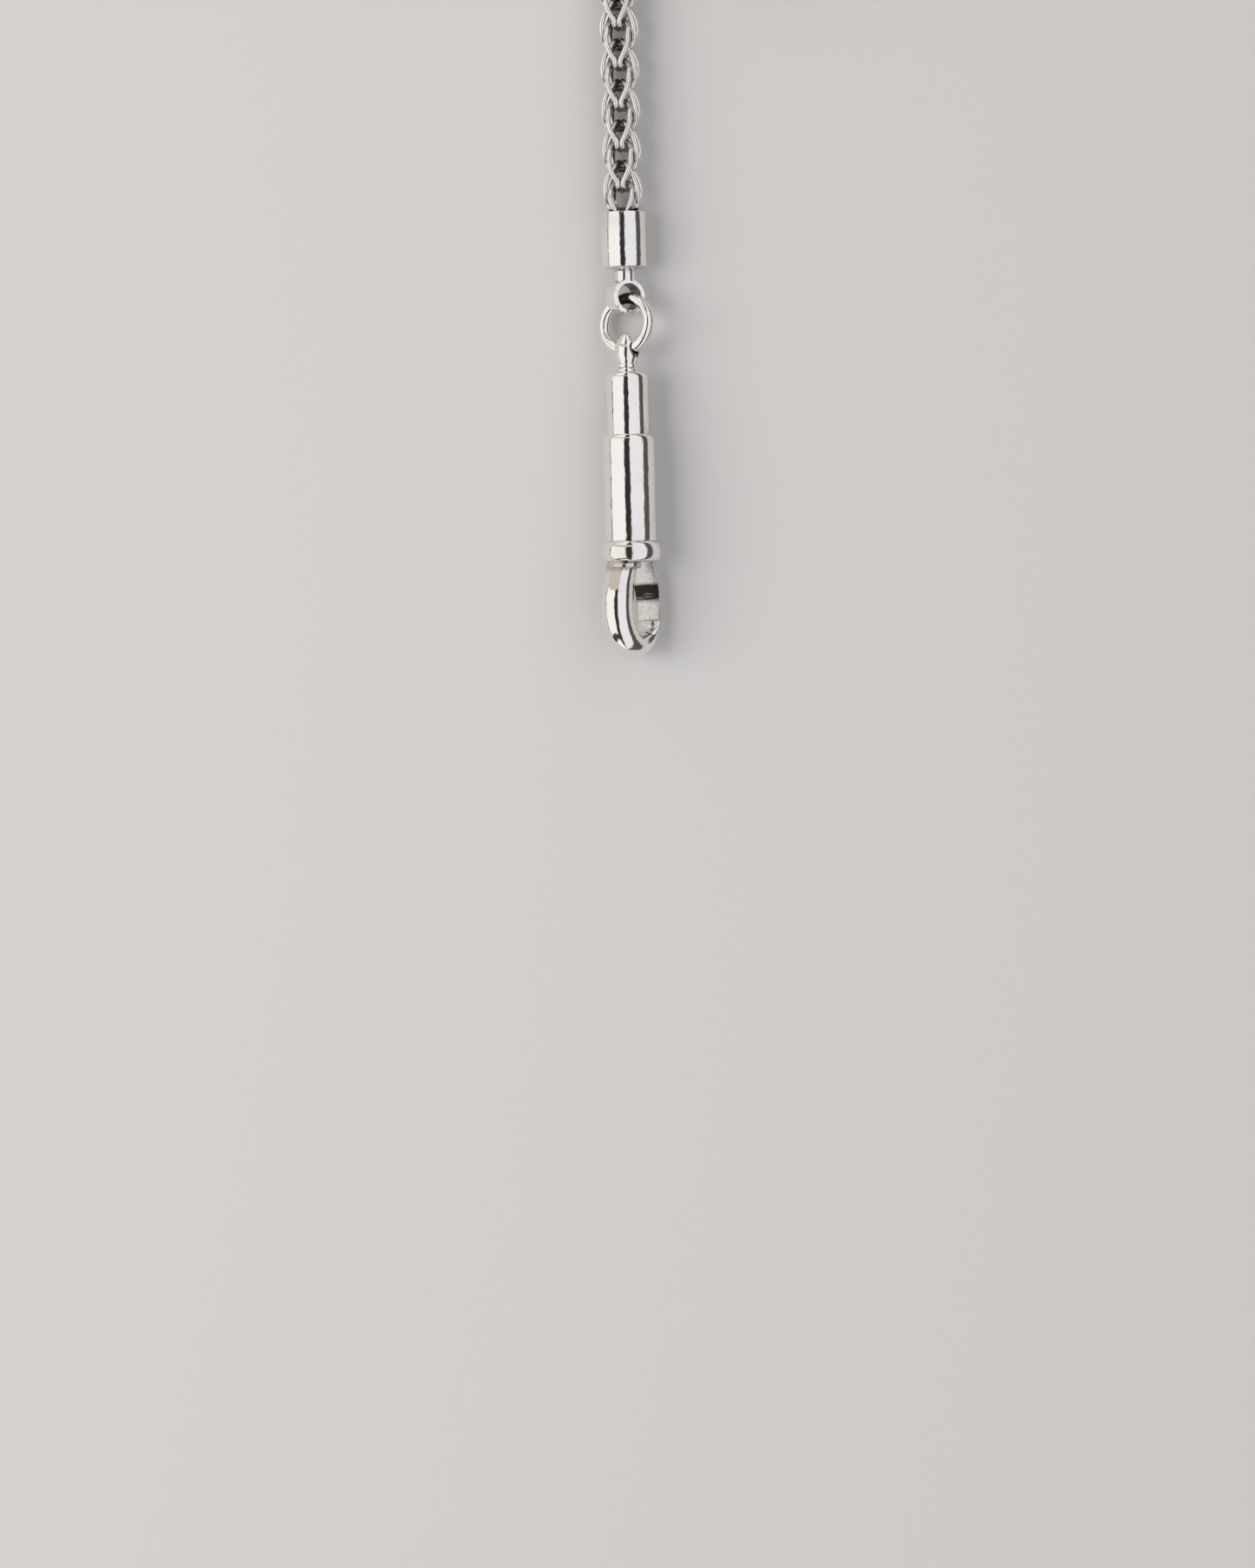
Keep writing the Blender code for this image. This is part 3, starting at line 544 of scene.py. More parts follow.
def handling_marks():
    """Shared wear and painted shade: soft smears, fine scratches, a few small dents, and the
    painted shade of each point made patchy.
    """
    name = "handling_marks"
    if name in bpy.data.node_groups:
        return bpy.data.node_groups[name]
    group = bpy.data.node_groups.new(name, "ShaderNodeTree")
    defaults = {"Painted Shade": 0.0, "Smear Size": 300.0, "Scratch Size": 1800.0,
                "Stretch": (1.0, 0.08, 1.0), "Low": 0.06, "High": 0.22}
    for entry, value in defaults.items():
        kind = "NodeSocketVector" if entry == "Stretch" else "NodeSocketFloat"
        made = group.interface.new_socket(name=entry, in_out="INPUT", socket_type=kind)
        made.default_value = value
    for output in ("Roughness", "Height", "Film", "Warm Shade"):
        group.interface.new_socket(name=output, in_out="OUTPUT", socket_type="NodeSocketFloat")
    take = add_node(group, "NodeGroupInput")
    give = add_node(group, "NodeGroupOutput")
    where = add_node(group, "ShaderNodeTexCoord")
    smear = add_node(group, "ShaderNodeTexNoise", {"Detail": 4.0, "Roughness": 0.6})
    pull = add_node(group, "ShaderNodeVectorMath", operation="MULTIPLY")
    scratch = add_node(group, "ShaderNodeTexNoise", {"Detail": 3.0})
    dents = add_node(group, "ShaderNodeTexVoronoi", {"Scale": 260.0})
    spread = remap(group, 0.30, 0.72)
    film = remap(group, 0.52, 0.78)
    patchy = remap(group, 0.32, 0.68, 0.65, 1.25)
    nick = remap(group, 0.02, 0.13, -0.9, 0.0, interpolation_type="SMOOTHSTEP")
    mix = add_node(group, "ShaderNodeMath", {1: 0.50}, operation="MULTIPLY_ADD")
    relief = add_node(group, "ShaderNodeMath", operation="ADD")
    # Painted shade: the point attribute's amount, made patchy by the scratch noise
    patchy_shade = add_node(group, "ShaderNodeMath", operation="MULTIPLY", use_clamp=True)
    wire_up(
        group,
        (where, "Object", smear, "Vector"),
        (where, "Object", pull, 0),
        (where, "Object", dents, "Vector"),
        (take, "Smear Size", smear, "Scale"),
        (take, "Stretch", pull, 1),
        (pull, "Vector", scratch, "Vector"),
        (take, "Scratch Size", scratch, "Scale"),
        (smear, "Fac", spread, "Value"),
        (take, "Low", spread, "To Min"),
        (take, "High", spread, "To Max"),
        (smear, "Fac", film, "Value"),
        (scratch, "Fac", mix, 0),
        (smear, "Fac", mix, 2),
        (dents, "Distance", nick, "Value"),
        (mix, "Value", relief, 0),
        (nick, "Result", relief, 1),
        (scratch, "Fac", patchy, "Value"),
        (take, "Painted Shade", patchy_shade, 0),
        (patchy, "Result", patchy_shade, 1),
        (spread, "Result", give, "Roughness"),
        (relief, "Value", give, "Height"),
        (film, "Result", give, "Film"),
        (patchy_shade, "Value", give, "Warm Shade"),
    )
    return group


def marked_metal(name, tint, film_tint, low, high, bump, stretch=(1.0, 0.35, 1.0), film=0.18,
                 smear=300.0, scratch=4500.0, film_and_shade=0.32):
    """A metal with handling marks: tint, a warm film in patches, roughness and fine bumps, and
    painted shade darkening the colour by each point's attribute.
    """
    if name in bpy.data.materials:
        return bpy.data.materials[name]
    material = bpy.data.materials.new(name)
    material.use_nodes = True
    tree = material.node_tree
    shader = tree.nodes["Principled BSDF"]
    shader.inputs["Metallic"].default_value = 1.0
    warm = [a + (b - a) * film for a, b in zip(tint, film_tint)]
    # The painted shade's colour: the warm tint, darkened
    dark = [c * film_and_shade for c in film_tint]
    wear = {"Low": low, "High": high, "Stretch": stretch, "Smear Size": smear,
            "Scratch Size": scratch}
    marks = add_node(tree, "ShaderNodeGroup", wear, node_tree=handling_marks())
    shade_amount = add_node(tree, "ShaderNodeAttribute", attribute_name=PAINTED_SHADE)
    tone = add_node(tree, "ShaderNodeMix", {"A": (*tint, 1.0), "B": (*warm, 1.0)},
                    data_type="RGBA")
    # Painted shade: the base colour is darkened towards that colour by the point attribute
    shaded_tone = add_node(tree, "ShaderNodeMix", {"B": (*dark, 1.0)}, data_type="RGBA")
    dull = add_node(tree, "ShaderNodeMath", {1: 0.25}, operation="MULTIPLY_ADD")
    raised = add_node(tree, "ShaderNodeBump", {"Strength": bump, "Distance": MARK_DEPTH})
    wire_up(
        tree,
        (shade_amount, "Fac", marks, "Painted Shade"),
        (marks, "Film", tone, "Factor"),
        (marks, "Warm Shade", shaded_tone, "Factor"),
        (tone, "Result", shaded_tone, "A"),
        (shaded_tone, "Result", shader, "Base Color"),
        (marks, "Warm Shade", dull, 0),
        (marks, "Roughness", dull, 2),
        (dull, "Value", shader, "Roughness"),
        (marks, "Height", raised, "Height"),
        (raised, "Normal", shader, "Normal"),
    )
    return material


def polished(context):
    finish = context.scene.watch_chain.finish
    return marked_metal("polished_silver_turned", finish.silver, finish.film_and_shade,
                        low=0.03, high=0.11, bump=0.9)


def drawn(context):
    finish = context.scene.watch_chain.finish
    return marked_metal("drawn_wire_silver", finish.wire, finish.film_and_shade,
                        low=0.09, high=0.20, bump=0.25, film=0.22, smear=700.0)


def filed(context):
    finish = context.scene.watch_chain.finish
    return marked_metal("filed_gate_silver", finish.silver, finish.film_and_shade,
                        low=0.16, high=0.34, bump=1.0, stretch=(0.12, 1.0, 0.12), film=0.35,
                        smear=3600.0, scratch=5200.0, film_and_shade=0.17)


def spring_wire(context):
    finish = context.scene.watch_chain.finish
    return marked_metal("spring_wire_steel", finish.spring, finish.film_and_shade,
                        low=0.25, high=0.4, bump=0.2)


# Wire links


def link_line(plan, pinch, steps):
    """The closed line of one link: a fold at the origin, ears towards +Y at +Z and -Z."""
    links, ear_end, mouth = plan.sizes.links, plan.ear_end, plan.sizes.ends.fold_in_cup
    leg_steps, nose_steps, bend_steps = steps
    fold = links.wire + links.gap / 2
    crest = links.radius - links.wire
    bulge = links.bulge_at

    def height(y):
        if y < bulge:
            return crest - links.fold_fall * (1 - y / bulge) ** 2
        return crest - links.ear_fall * ((y - bulge) / (ear_end - bulge)) ** 2

    half_span = height(links.fold_bend) - links.fold_bend
    part = [(fold, 0.0, half_span * share) for share in (0.34, 0.68)]
    for i in range(bend_steps):
        turn = i / bend_steps * math.pi / 2
        part.append((fold, links.fold_bend * (1 - math.cos(turn)),
                     half_span + links.fold_bend * math.sin(turn)))
    for i in range(leg_steps + 1):
        share = i / leg_steps
        y = links.fold_bend + share * (links.widest_at - links.fold_bend)
        x = fold + (links.ear_width - fold) * math.sin(share * math.pi / 2)
        part.append((x, y, height(y)))
    for i in range(1, nose_steps):
        share = math.sin(i / nose_steps * math.pi / 2)
        y = links.widest_at + (ear_end - links.widest_at) * share
        x = links.ear_width * (1 - share ** links.roundness) ** (1 / links.roundness)
        part.append((x, y, height(y)))
    nose = [(0.0, ear_end, height(ear_end))]

    def mirrored(points, side, face):
        line = []
        for x, y, z in points:
            narrow = pinch + (1 - pinch) * ease(y, mouth, mouth + links.pinch_length)
            line.append(Vector((side * max(x * narrow, min(x, fold)), y, face * z * narrow)))
        return line

    ear = mirrored(part + nose, 1, 1) + mirrored(part[::-1], -1, 1)
    other = mirrored(part + nose, -1, -1) + mirrored(part[::-1], 1, -1)
    return ear + other


def bent_wire(name, line, radius, sides=12, closed=True):
    """A round wire along the line, as a mesh, with filled ends where it is open."""
    clear_selection()
    curve = bpy.data.curves.new(name, "CURVE")
    curve.dimensions = "3D"
    curve.bevel_depth = radius
    curve.bevel_resolution = sides // 2 - 2
    curve.use_fill_caps = not closed
    spline = curve.splines.new("POLY")
    spline.points.add(len(line) - 1)
    for spot, point in zip(spline.points, line):
        spot.co = (*point, 1.0)
    spline.use_cyclic_u = closed
    spline.use_smooth = True
    piece = bpy.data.objects.new(name, curve)
    bpy.context.collection.objects.link(piece)
    select_only(piece)
    bpy.ops.object.convert(target="MESH")
    return bpy.context.object


def weave_shade(spot, links):
    """Painted shade deep in the weave, fading out where the wire stands out."""
    return 1 - ease(math.hypot(spot.x, spot.z), 0.45 * links.radius, 0.80 * links.radius)


class WATCHCHAIN_OT_links(Operator):
    """Model the straight run of wire links"""
    bl_idname = "watchchain.links"
    bl_label = "Wire Links"

    def execute(self, context):
        plan = layout(context)
        links = plan.sizes.links
        metal = drawn(context)
        run = plan.run_frame()
        pattern = bent_wire("link_pattern", link_line(plan, 1.0, FINE_LINK), links.wire)
        # Painted shade deep in the weave
        darken(pattern, lambda spot: weave_shade(spot, links))
        for number in range(1, links.count + 1):
            name = f"wire_link_{number:02d}"
            if number == 1:
                piece = bent_wire(name, link_line(plan, links.pinch, FINE_LINK), links.wire)
                darken(piece, lambda spot: weave_shade(spot, links))
            else:
                piece = pattern.copy()
                piece.data = pattern.data.copy()
                piece.name = name
                context.collection.objects.link(piece)
            place = (run @ Matrix.Translation((0, (number - 1) * links.pitch / 2, 0))
                     @ Matrix.Rotation(math.pi / 2 * ((number - 1) % 2), 4, "Y"))
            body = "near_cap" if number == 1 else f"chain_{number:02d}"
            settle(piece, place, metal, body, f"link_{number:02d}")
        bpy.data.objects.remove(pattern, do_unlink=True)
        return {"FINISHED"}


def walk(route, walked, spots):
    """Places on the route and headings there, straight on past its ends."""
    inside = np.clip(spots, 0, walked[-1])

    def at(lengths):
        lengths = np.clip(lengths, 0, walked[-1])
        return np.stack([np.interp(lengths, walked, route[:, k]) for k in range(3)], axis=1)

    ahead = at(inside + LOOK) - at(inside - LOOK)
    ahead /= np.linalg.norm(ahead, axis=1, keepdims=True)
    return at(inside) + ahead * (spots - inside)[:, None], ahead


class WATCHCHAIN_OT_coil(Operator):
    """Lay the rest of the chain, link by link, along its coil"""
    bl_idname = "watchchain.coil"
    bl_label = "Coiled Chain"

    def execute(self, context):
        plan = layout(context)
        links = plan.sizes.links
        route = np.array([tuple(p) for p in smooth_line(plan.coil_line(), steps=8)])
        steps = np.linalg.norm(np.diff(route, axis=0), axis=1)
        walked = np.concatenate([[0.0], np.cumsum(steps)])
        total = walked[-1]
        pattern = bent_wire("coil_link", link_line(plan, 1.0, COARSE_LINK), links.wire, sides=6)
        shape = np.array([tuple(v.co) for v in pattern.data.vertices])
        rings = [tuple(p.vertices) for p in pattern.data.polygons]
        shade = [weave_shade(v.co, links) for v in pattern.data.vertices]
        bpy.data.objects.remove(pattern, do_unlink=True)
        mouth = total - plan.sizes.coil.tail_in_cup
        count = int((total - plan.ear_end - links.wire) / (links.pitch / 2)) + 1
        points, faces = [], []
        for i in range(count):
            number = links.count + i
            turn = Matrix.Rotation(links.roll + math.pi / 2 * (number % 2), 3, "Y")
            local = shape @ np.array(turn).T
            spots = i * links.pitch / 2 + shape[:, 1]
            centre, ahead = walk(route, walked, spots)
            side = np.cross(ahead, (0.0, 0.0, 1.0))
            side /= np.linalg.norm(side, axis=1, keepdims=True)
            up = np.cross(side, ahead)
            share = np.clip((mouth - spots) / links.pinch_length + 0.5, 0, 1)
            narrow = links.pinch + (1 - links.pinch) * share * share * (3 - 2 * share)
            placed = (centre + side * (local[:, 0] * narrow)[:, None]
                      + up * (local[:, 2] * narrow)[:, None])
            base = len(points)
            points.extend(map(tuple, placed))
            faces.extend(tuple(base + v for v in face) for face in rings)
        mesh = bpy.data.meshes.new("coiled_chain")
        mesh.from_pydata(points, [], faces)
        piece = bpy.data.objects.new("coiled_chain", mesh)
        context.collection.objects.link(piece)
        # Painted shade deep in the weave, link by link
        marks = mesh.attributes.new(PAINTED_SHADE, "FLOAT", "POINT")
        marks.data.foreach_set("value", shade * count)
        settle(piece, Matrix.Identity(4), drawn(context), "coil", "chain_coil")
        return {"FINISHED"}


def turned_cap(name, plan):
    """A cup with neck and drilled eye, the eye's centre at the origin."""
    ends, links = plan.sizes.ends, plan.sizes.links
    mouth = plan.cup_mouth - plan.eye
    foot = plan.cup_foot - plan.eye
    bore = links.radius + ends.cup_gap
    edge = ends.edge
    stub = (ends.eye_hole + ends.eye) / 2
    flare = [(foot - ends.neck_length * 0.5, ends.neck),
             (foot - ends.neck_length * 0.3, ends.neck + 0.25 * ends.neck_flare),
             (foot - ends.neck_length * 0.12, ends.neck + 0.62 * ends.neck_flare),
             (foot, ends.neck + ends.neck_flare)]
    cup = lathe(name, [(stub, 0), (stub, ends.neck)] + flare + [
        (foot, ends.cup_radius - edge * 0.6),
        (foot + edge * 0.2, ends.cup_radius - edge * 0.2),
        (foot + edge * 0.6, ends.cup_radius),
        (mouth - edge * 0.6, ends.cup_radius),
        (mouth - edge * 0.2, ends.cup_radius - edge * 0.15),
        (mouth, ends.cup_radius - edge * 0.6),
        (mouth, bore),
        (mouth - ends.cup_depth, bore),
        (mouth - ends.cup_depth, 0),
    ], closed=False)
    half, fine = ends.eye_thick / 2, ends.eye_edge
    eye = lathe(f"{name}_eye", [
        (-half + fine, ends.eye_hole), (-half, ends.eye_hole + fine),
        (-half, ends.eye - fine), (-half + fine, ends.eye - 0.2 * fine),
        (-half / 3, ends.eye), (half / 3, ends.eye),
        (half - fine, ends.eye - 0.2 * fine), (half, ends.eye - fine),
        (half, ends.eye_hole + fine), (half - fine, ends.eye_hole),
    ], closed=True)
    eye.matrix_world = Matrix.Rotation(math.pi / 2, 4, "X")
    bpy.context.view_layer.update()
    merge_into(cup, eye, "UNION")

    def shaded(spot):
        """Painted shade inside the eye, on the neck under the cup and in the cup's bore."""
        in_bore, on_neck, in_eye = 0.9, 0.4, 0.95
        around = math.hypot(spot.x, spot.z)
        if spot.y > foot:
            return in_bore * (1 - ease(around, bore, bore + edge))
        if spot.y > foot - 0.4 * ends.neck_length:
            return on_neck * (1 - ease(around, ends.neck, ends.cup_radius - edge))
        inside = math.hypot(spot.x, spot.y) < ends.eye_hole + 0.2 * fine
        return in_eye if inside and abs(spot.z) < half - 0.9 * fine else 0.0

    darken(cup, shaded)
    return cup


class WATCHCHAIN_OT_end_caps(Operator):
    """Turn the two end caps with their drilled eyes"""
    bl_idname = "watchchain.end_caps"
    bl_label = "End Caps"

    def execute(self, context):
        plan = layout(context)
        near = turned_cap("near_cup", plan)
        settle_silver(context, near, plan.cap_frame(), "near_cap", "end_cap")
        far = turned_cap("far_cup", plan)
        settle_silver(context, far, plan.far_cap_frame(), "coil", "far_end_cap")
        return {"FINISHED"}


def wire_ring(name, ends):
    """A ring of round wire in the XY plane, with the fine groove of its soldered joint."""
    radius, thick = ends.ring, ends.ring_wire
    joint_turn, groove, groove_floor = 1.0, 0.14 * thick, 0.965
    clear_selection()
    bpy.ops.mesh.primitive_torus_add(major_radius=radius, minor_radius=thick,
                                     major_segments=120, minor_segments=28)
    ring = bpy.context.object
    ring.name = name
    joint = Vector((-radius * math.sin(joint_turn), radius * math.cos(joint_turn), 0))
    heading = Vector((-joint.y, joint.x, 0)).normalized()
    for vertex in ring.data.vertices:
        away = (vertex.co - joint).dot(heading)
        near = (vertex.co - joint).length < 2 * thick
        if near and abs(away) < groove:
            middle = vertex.co.copy()
            middle.z = 0
            middle = middle.normalized() * radius
            vertex.co = middle + (vertex.co - middle) * groove_floor
    return ring


class WATCHCHAIN_OT_rings(Operator):
    """Bend the two jump rings"""
    bl_idname = "watchchain.rings"
    bl_label = "Jump Rings"

    def execute(self, context):
        plan = layout(context)
        near = wire_ring("near_ring_wire", plan.sizes.ends)
        settle_silver(context, near, plan.ring_frame(), "near_ring", "jump_ring")
        far = wire_ring("far_ring_wire", plan.sizes.ends)
        settle_silver(context, far, plan.far_ring_frame(), "far_ring", "far_jump_ring")
        return {"FINISHED"}


class WATCHCHAIN_OT_t_bar(Operator):
    """Turn the T-bar and join its loop"""
    bl_idname = "watchchain.t_bar"
    bl_label = "T-Bar"

    def execute(self, context):
        plan = layout(context)
        ends = plan.sizes.ends
        half = ends.bar_length / 2
        ball = arc((half - ends.ball, 0), (ends.ball, ends.ball), 0, 0.75 * math.pi, steps=14)
        boss = smooth_profile([(2.2 * ends.boss, ends.bar), (1.0 * ends.boss, ends.bar * 1.02),
                               (0.5 * ends.boss, ends.boss), (0, ends.boss * 1.02)], steps=4)
        one = ball + boss
        other = [(-along, radius) for along, radius in reversed(one[:-1])]
        bar = lathe("turned_t_bar", one + other, closed=False, sides=64)
        clear_selection()
        bpy.ops.mesh.primitive_torus_add(major_radius=ends.loop_hole + ends.loop_wire,
                                         minor_radius=ends.loop_wire, major_segments=72,
                                         minor_segments=20, rotation=(math.pi / 2, 0, 0),
                                         location=(plan.loop_offset(), 0, 0))
        merge_into(bar, bpy.context.object, "UNION")
        settle_silver(context, bar, plan.bar_frame(), "bar", "t_bar")
        return {"FINISHED"}


class WATCHCHAIN_OT_swivel(Operator):
    """Turn the swivel head and drill its ring hole"""
    bl_idname = "watchchain.swivel"
    bl_label = "Swivel Head"

    def execute(self, context):
        plan = layout(context)
        clasp, ends = plan.sizes.clasp, plan.sizes.ends
        rivet = plan.barrel_head - clasp.barrel_top - clasp.turn_gap
        bead = plan.lip_head + clasp.turn_gap
        waist = (clasp.head + clasp.stem) / 2
        apex, tall, wide = plan.head_apex, clasp.head_height, clasp.head
        outline = smooth_profile([
            (apex, 0), (apex - 0.06 * tall, 0.33 * wide), (apex - 0.19 * tall, 0.62 * wide),
            (apex - 0.38 * tall, 0.88 * wide), (apex - 0.60 * tall, wide),
            (apex - 0.80 * tall, 0.96 * wide), (apex - 0.94 * tall, 0.84 * wide),
            (plan.head_foot, waist)], steps=5)
        beaded = arc((plan.head_foot - clasp.bead_length / 2, waist),
                     (clasp.bead_length / 2, clasp.bead - waist), 0, math.pi, steps=8)
        head = lathe("turned_swivel", outline + beaded[1:] + [
            (bead, clasp.stem), (rivet, clasp.stem), (rivet, clasp.rivet),
            (rivet - clasp.rivet_length, clasp.rivet), (rivet - clasp.rivet_length, 0)],
            closed=False)
        drill = skinned("ring_drill", self.ring_way(clasp, ends))
        drill.location = (0, plan.head_hole, 0)
        bpy.context.view_layer.update()
        merge_into(head, drill, "DIFFERENCE")
        # Painted shade in and round the ring hole
        near = ends.ring_wire + 2.5 * clasp.hole_gap
        darken(head, lambda spot: 0.85 if math.hypot(spot.y - plan.head_hole, spot.z) < near else 0)
        settle_silver(context, head, plan.swivel_frame(), "swivel_head", "swivel")
        return {"FINISHED"}

    def ring_way(self, clasp, ends):
        """Rings round the ring's way through the head, bent and flared as it swings."""
        reach = 1.4 * clasp.head
        close = ends.ring_wire + clasp.hole_gap
        sides, steps = 48, 10
        sections = []
        for i in range(-steps, steps + 1):
            spot = reach * i / steps
            sag = ends.ring - math.sqrt(ends.ring ** 2 - spot ** 2)
            lift = 0.85 * sag
            tall = close + 0.3 * sag
            wide = close + sag * math.sin(ends.ring_swing)
            turns = [2 * math.pi * k / sides for k in range(sides)]
            sections.append([Vector((spot, lift + tall * math.cos(turn), wide * math.sin(turn)))
                             for turn in turns])
        return sections


class WATCHCHAIN_OT_barrel(Operator):
    """Turn the narrow upper barrel"""
    bl_idname = "watchchain.barrel"
    bl_label = "Barrel"

    def execute(self, context):
        plan = layout(context)
        clasp = plan.sizes.clasp
        bore = clasp.barrel - clasp.barrel_wall
        hole = clasp.stem + clasp.hole_gap
        lip = hole + clasp.lip_width
        rolled = arc((plan.barrel_head, lip - clasp.lip_round),
                     (clasp.lip_height, clasp.lip_round), math.pi / 2, math.pi / 2 - 1.5, steps=3)
        shoulder = clasp.barrel_shoulder
        barrel = lathe("turned_barrel", [
            (plan.barrel_foot, bore), (plan.barrel_foot, clasp.barrel),
            *quarter(plan.barrel_head, clasp.barrel, shoulder, shoulder),
            (plan.barrel_head, lip), *rolled, (plan.lip_head, hole),
            (plan.barrel_head - clasp.barrel_top, hole),
            (plan.barrel_head - clasp.barrel_top, bore)], closed=True)
        settle_silver(context, barrel, plan.clasp_frame(), "clasp_core", "barrel")
        return {"FINISHED"}


class WATCHCHAIN_OT_sleeve(Operator):
    """Turn the sliding sleeve and its grip collar"""
    bl_idname = "watchchain.sleeve"
    bl_label = "Sleeve and Collar"

    def execute(self, context):
        plan = layout(context)
        clasp = plan.sizes.clasp
        bore = clasp.barrel + clasp.run_gap
        foot = clasp.collar_length + clasp.seat_gap
        rounding = clasp.sleeve - bore - HAIR
        sleeve = lathe("turned_sleeve", [
            (foot, bore), (foot, clasp.sleeve - clasp.edge), (foot + clasp.edge, clasp.sleeve),
            *quarter(plan.sleeve_head, clasp.sleeve, clasp.sleeve_shoulder, rounding),
            (plan.sleeve_head, bore)], closed=True)
        settle_silver(context, sleeve, plan.clasp_frame(), "sliding_sleeve", "sleeve")
        hole = clasp.shank + clasp.hole_gap
        spigot = bore - clasp.seat_gap
        tall, wide = clasp.collar_length, clasp.collar
        cut, crown = clasp.collar_foot, clasp.collar_crown
        outside = smooth_profile([
            (0, wide - cut), (0.08 * tall, wide - 4 * crown), (0.25 * tall, wide - crown),
            (0.48 * tall, wide), (0.72 * tall, wide - crown), (0.90 * tall, wide - 3.2 * crown),
            (tall, clasp.sleeve)], steps=4)
        collar = lathe("turned_collar", [(0, hole)] + outside + [
            (tall, spigot), (tall + clasp.spigot, spigot), (tall + clasp.spigot, hole)],
            closed=True)
        side = clasp.gate_root_width + 2 * clasp.seat_gap
        thick = clasp.gate_root_thick + 2 * clasp.seat_gap
        deep = clasp.gate_depth + clasp.seat_gap + 0.2 * tall
        clear_selection()
        bpy.ops.mesh.primitive_cube_add(size=1, scale=(thick, deep, side), location=(
            clasp.gate_in - clasp.seat_gap + thick / 2, deep / 2 - 0.2 * tall, 0))
        merge_into(collar, bpy.context.object, "DIFFERENCE")
        settle_silver(context, collar, plan.clasp_frame(), "sliding_sleeve", "grip_collar")
        return {"FINISHED"}


class WATCHCHAIN_OT_gate(Operator):
    """Shape the filed gate that closes the hook"""
    bl_idname = "watchchain.gate"
    bl_label = "Gate"

    def execute(self, context):
        plan = layout(context)
        clasp = plan.sizes.clasp
        root, foot = clasp.gate_root_width, clasp.gate_width
        thin, thick = clasp.gate_root_thick, clasp.gate_thick
        stations = [
            (clasp.gate_depth, root, thin),
            (0.0, root, thin),
            (-0.4 * clasp.gate_flare, 0.6 * root + 0.4 * foot, 1.1 * thin),
            (-clasp.gate_flare, foot, 0.85 * thin + 0.15 * thick),
            (-(clasp.gate_flare + clasp.gate_length) / 2, foot, (thin + thick) / 2),
            (-clasp.gate_length, foot, thick),
        ]
        flat_steps, crown_steps = 5, 8
        brow, bluntness = 0.72, 0.7
        sections = []
        for along, width, depth in smooth_line([Vector(s) for s in stations], steps=10):
            inner = clasp.gate_in + clasp.gate_bend * ease(-along / clasp.gate_length, 0.36, 0.70)
            side = width / 2
            ring = [Vector((inner, along, side * k / flat_steps))
                    for k in range(-flat_steps, flat_steps + 1)]
            for k in range(crown_steps + 1):
                turn = math.pi / 2 - math.pi * k / crown_steps
                crown = clasp.gate_in + depth * (brow + (1 - brow) * math.cos(turn) ** bluntness)
                ring.append(Vector((crown, along, side * math.sin(turn))))
            sections.append(ring)
        gate = skinned("filed_gate", sections)
        break_edges(gate, clasp.edge, math.radians(50))
        # Painted shade on the bend of the gate's inner face
        darken(gate, lambda spot: self.bend_shade(spot, clasp))
        settle(gate, plan.clasp_frame(), filed(context), "sliding_sleeve", "gate")
        return {"FINISHED"}

    def bend_shade(self, spot, clasp):
        """Painted shade in a band across the bend of the inner face, darkest near its top and
        weaker towards the foot, and a faint even darkening over the rest of the inner face.
        """
        if spot.x > clasp.gate_in + clasp.gate_bend + 2 * HAIR:
            return 0.0
        down = -spot.y / clasp.gate_length
        band = ease(down, 0.33, 0.43) - ease(down, 0.63, 0.71)
        strength = 1.25 - 0.45 * ease(down, 0.45, 0.68)
        return 0.06 + strength * band


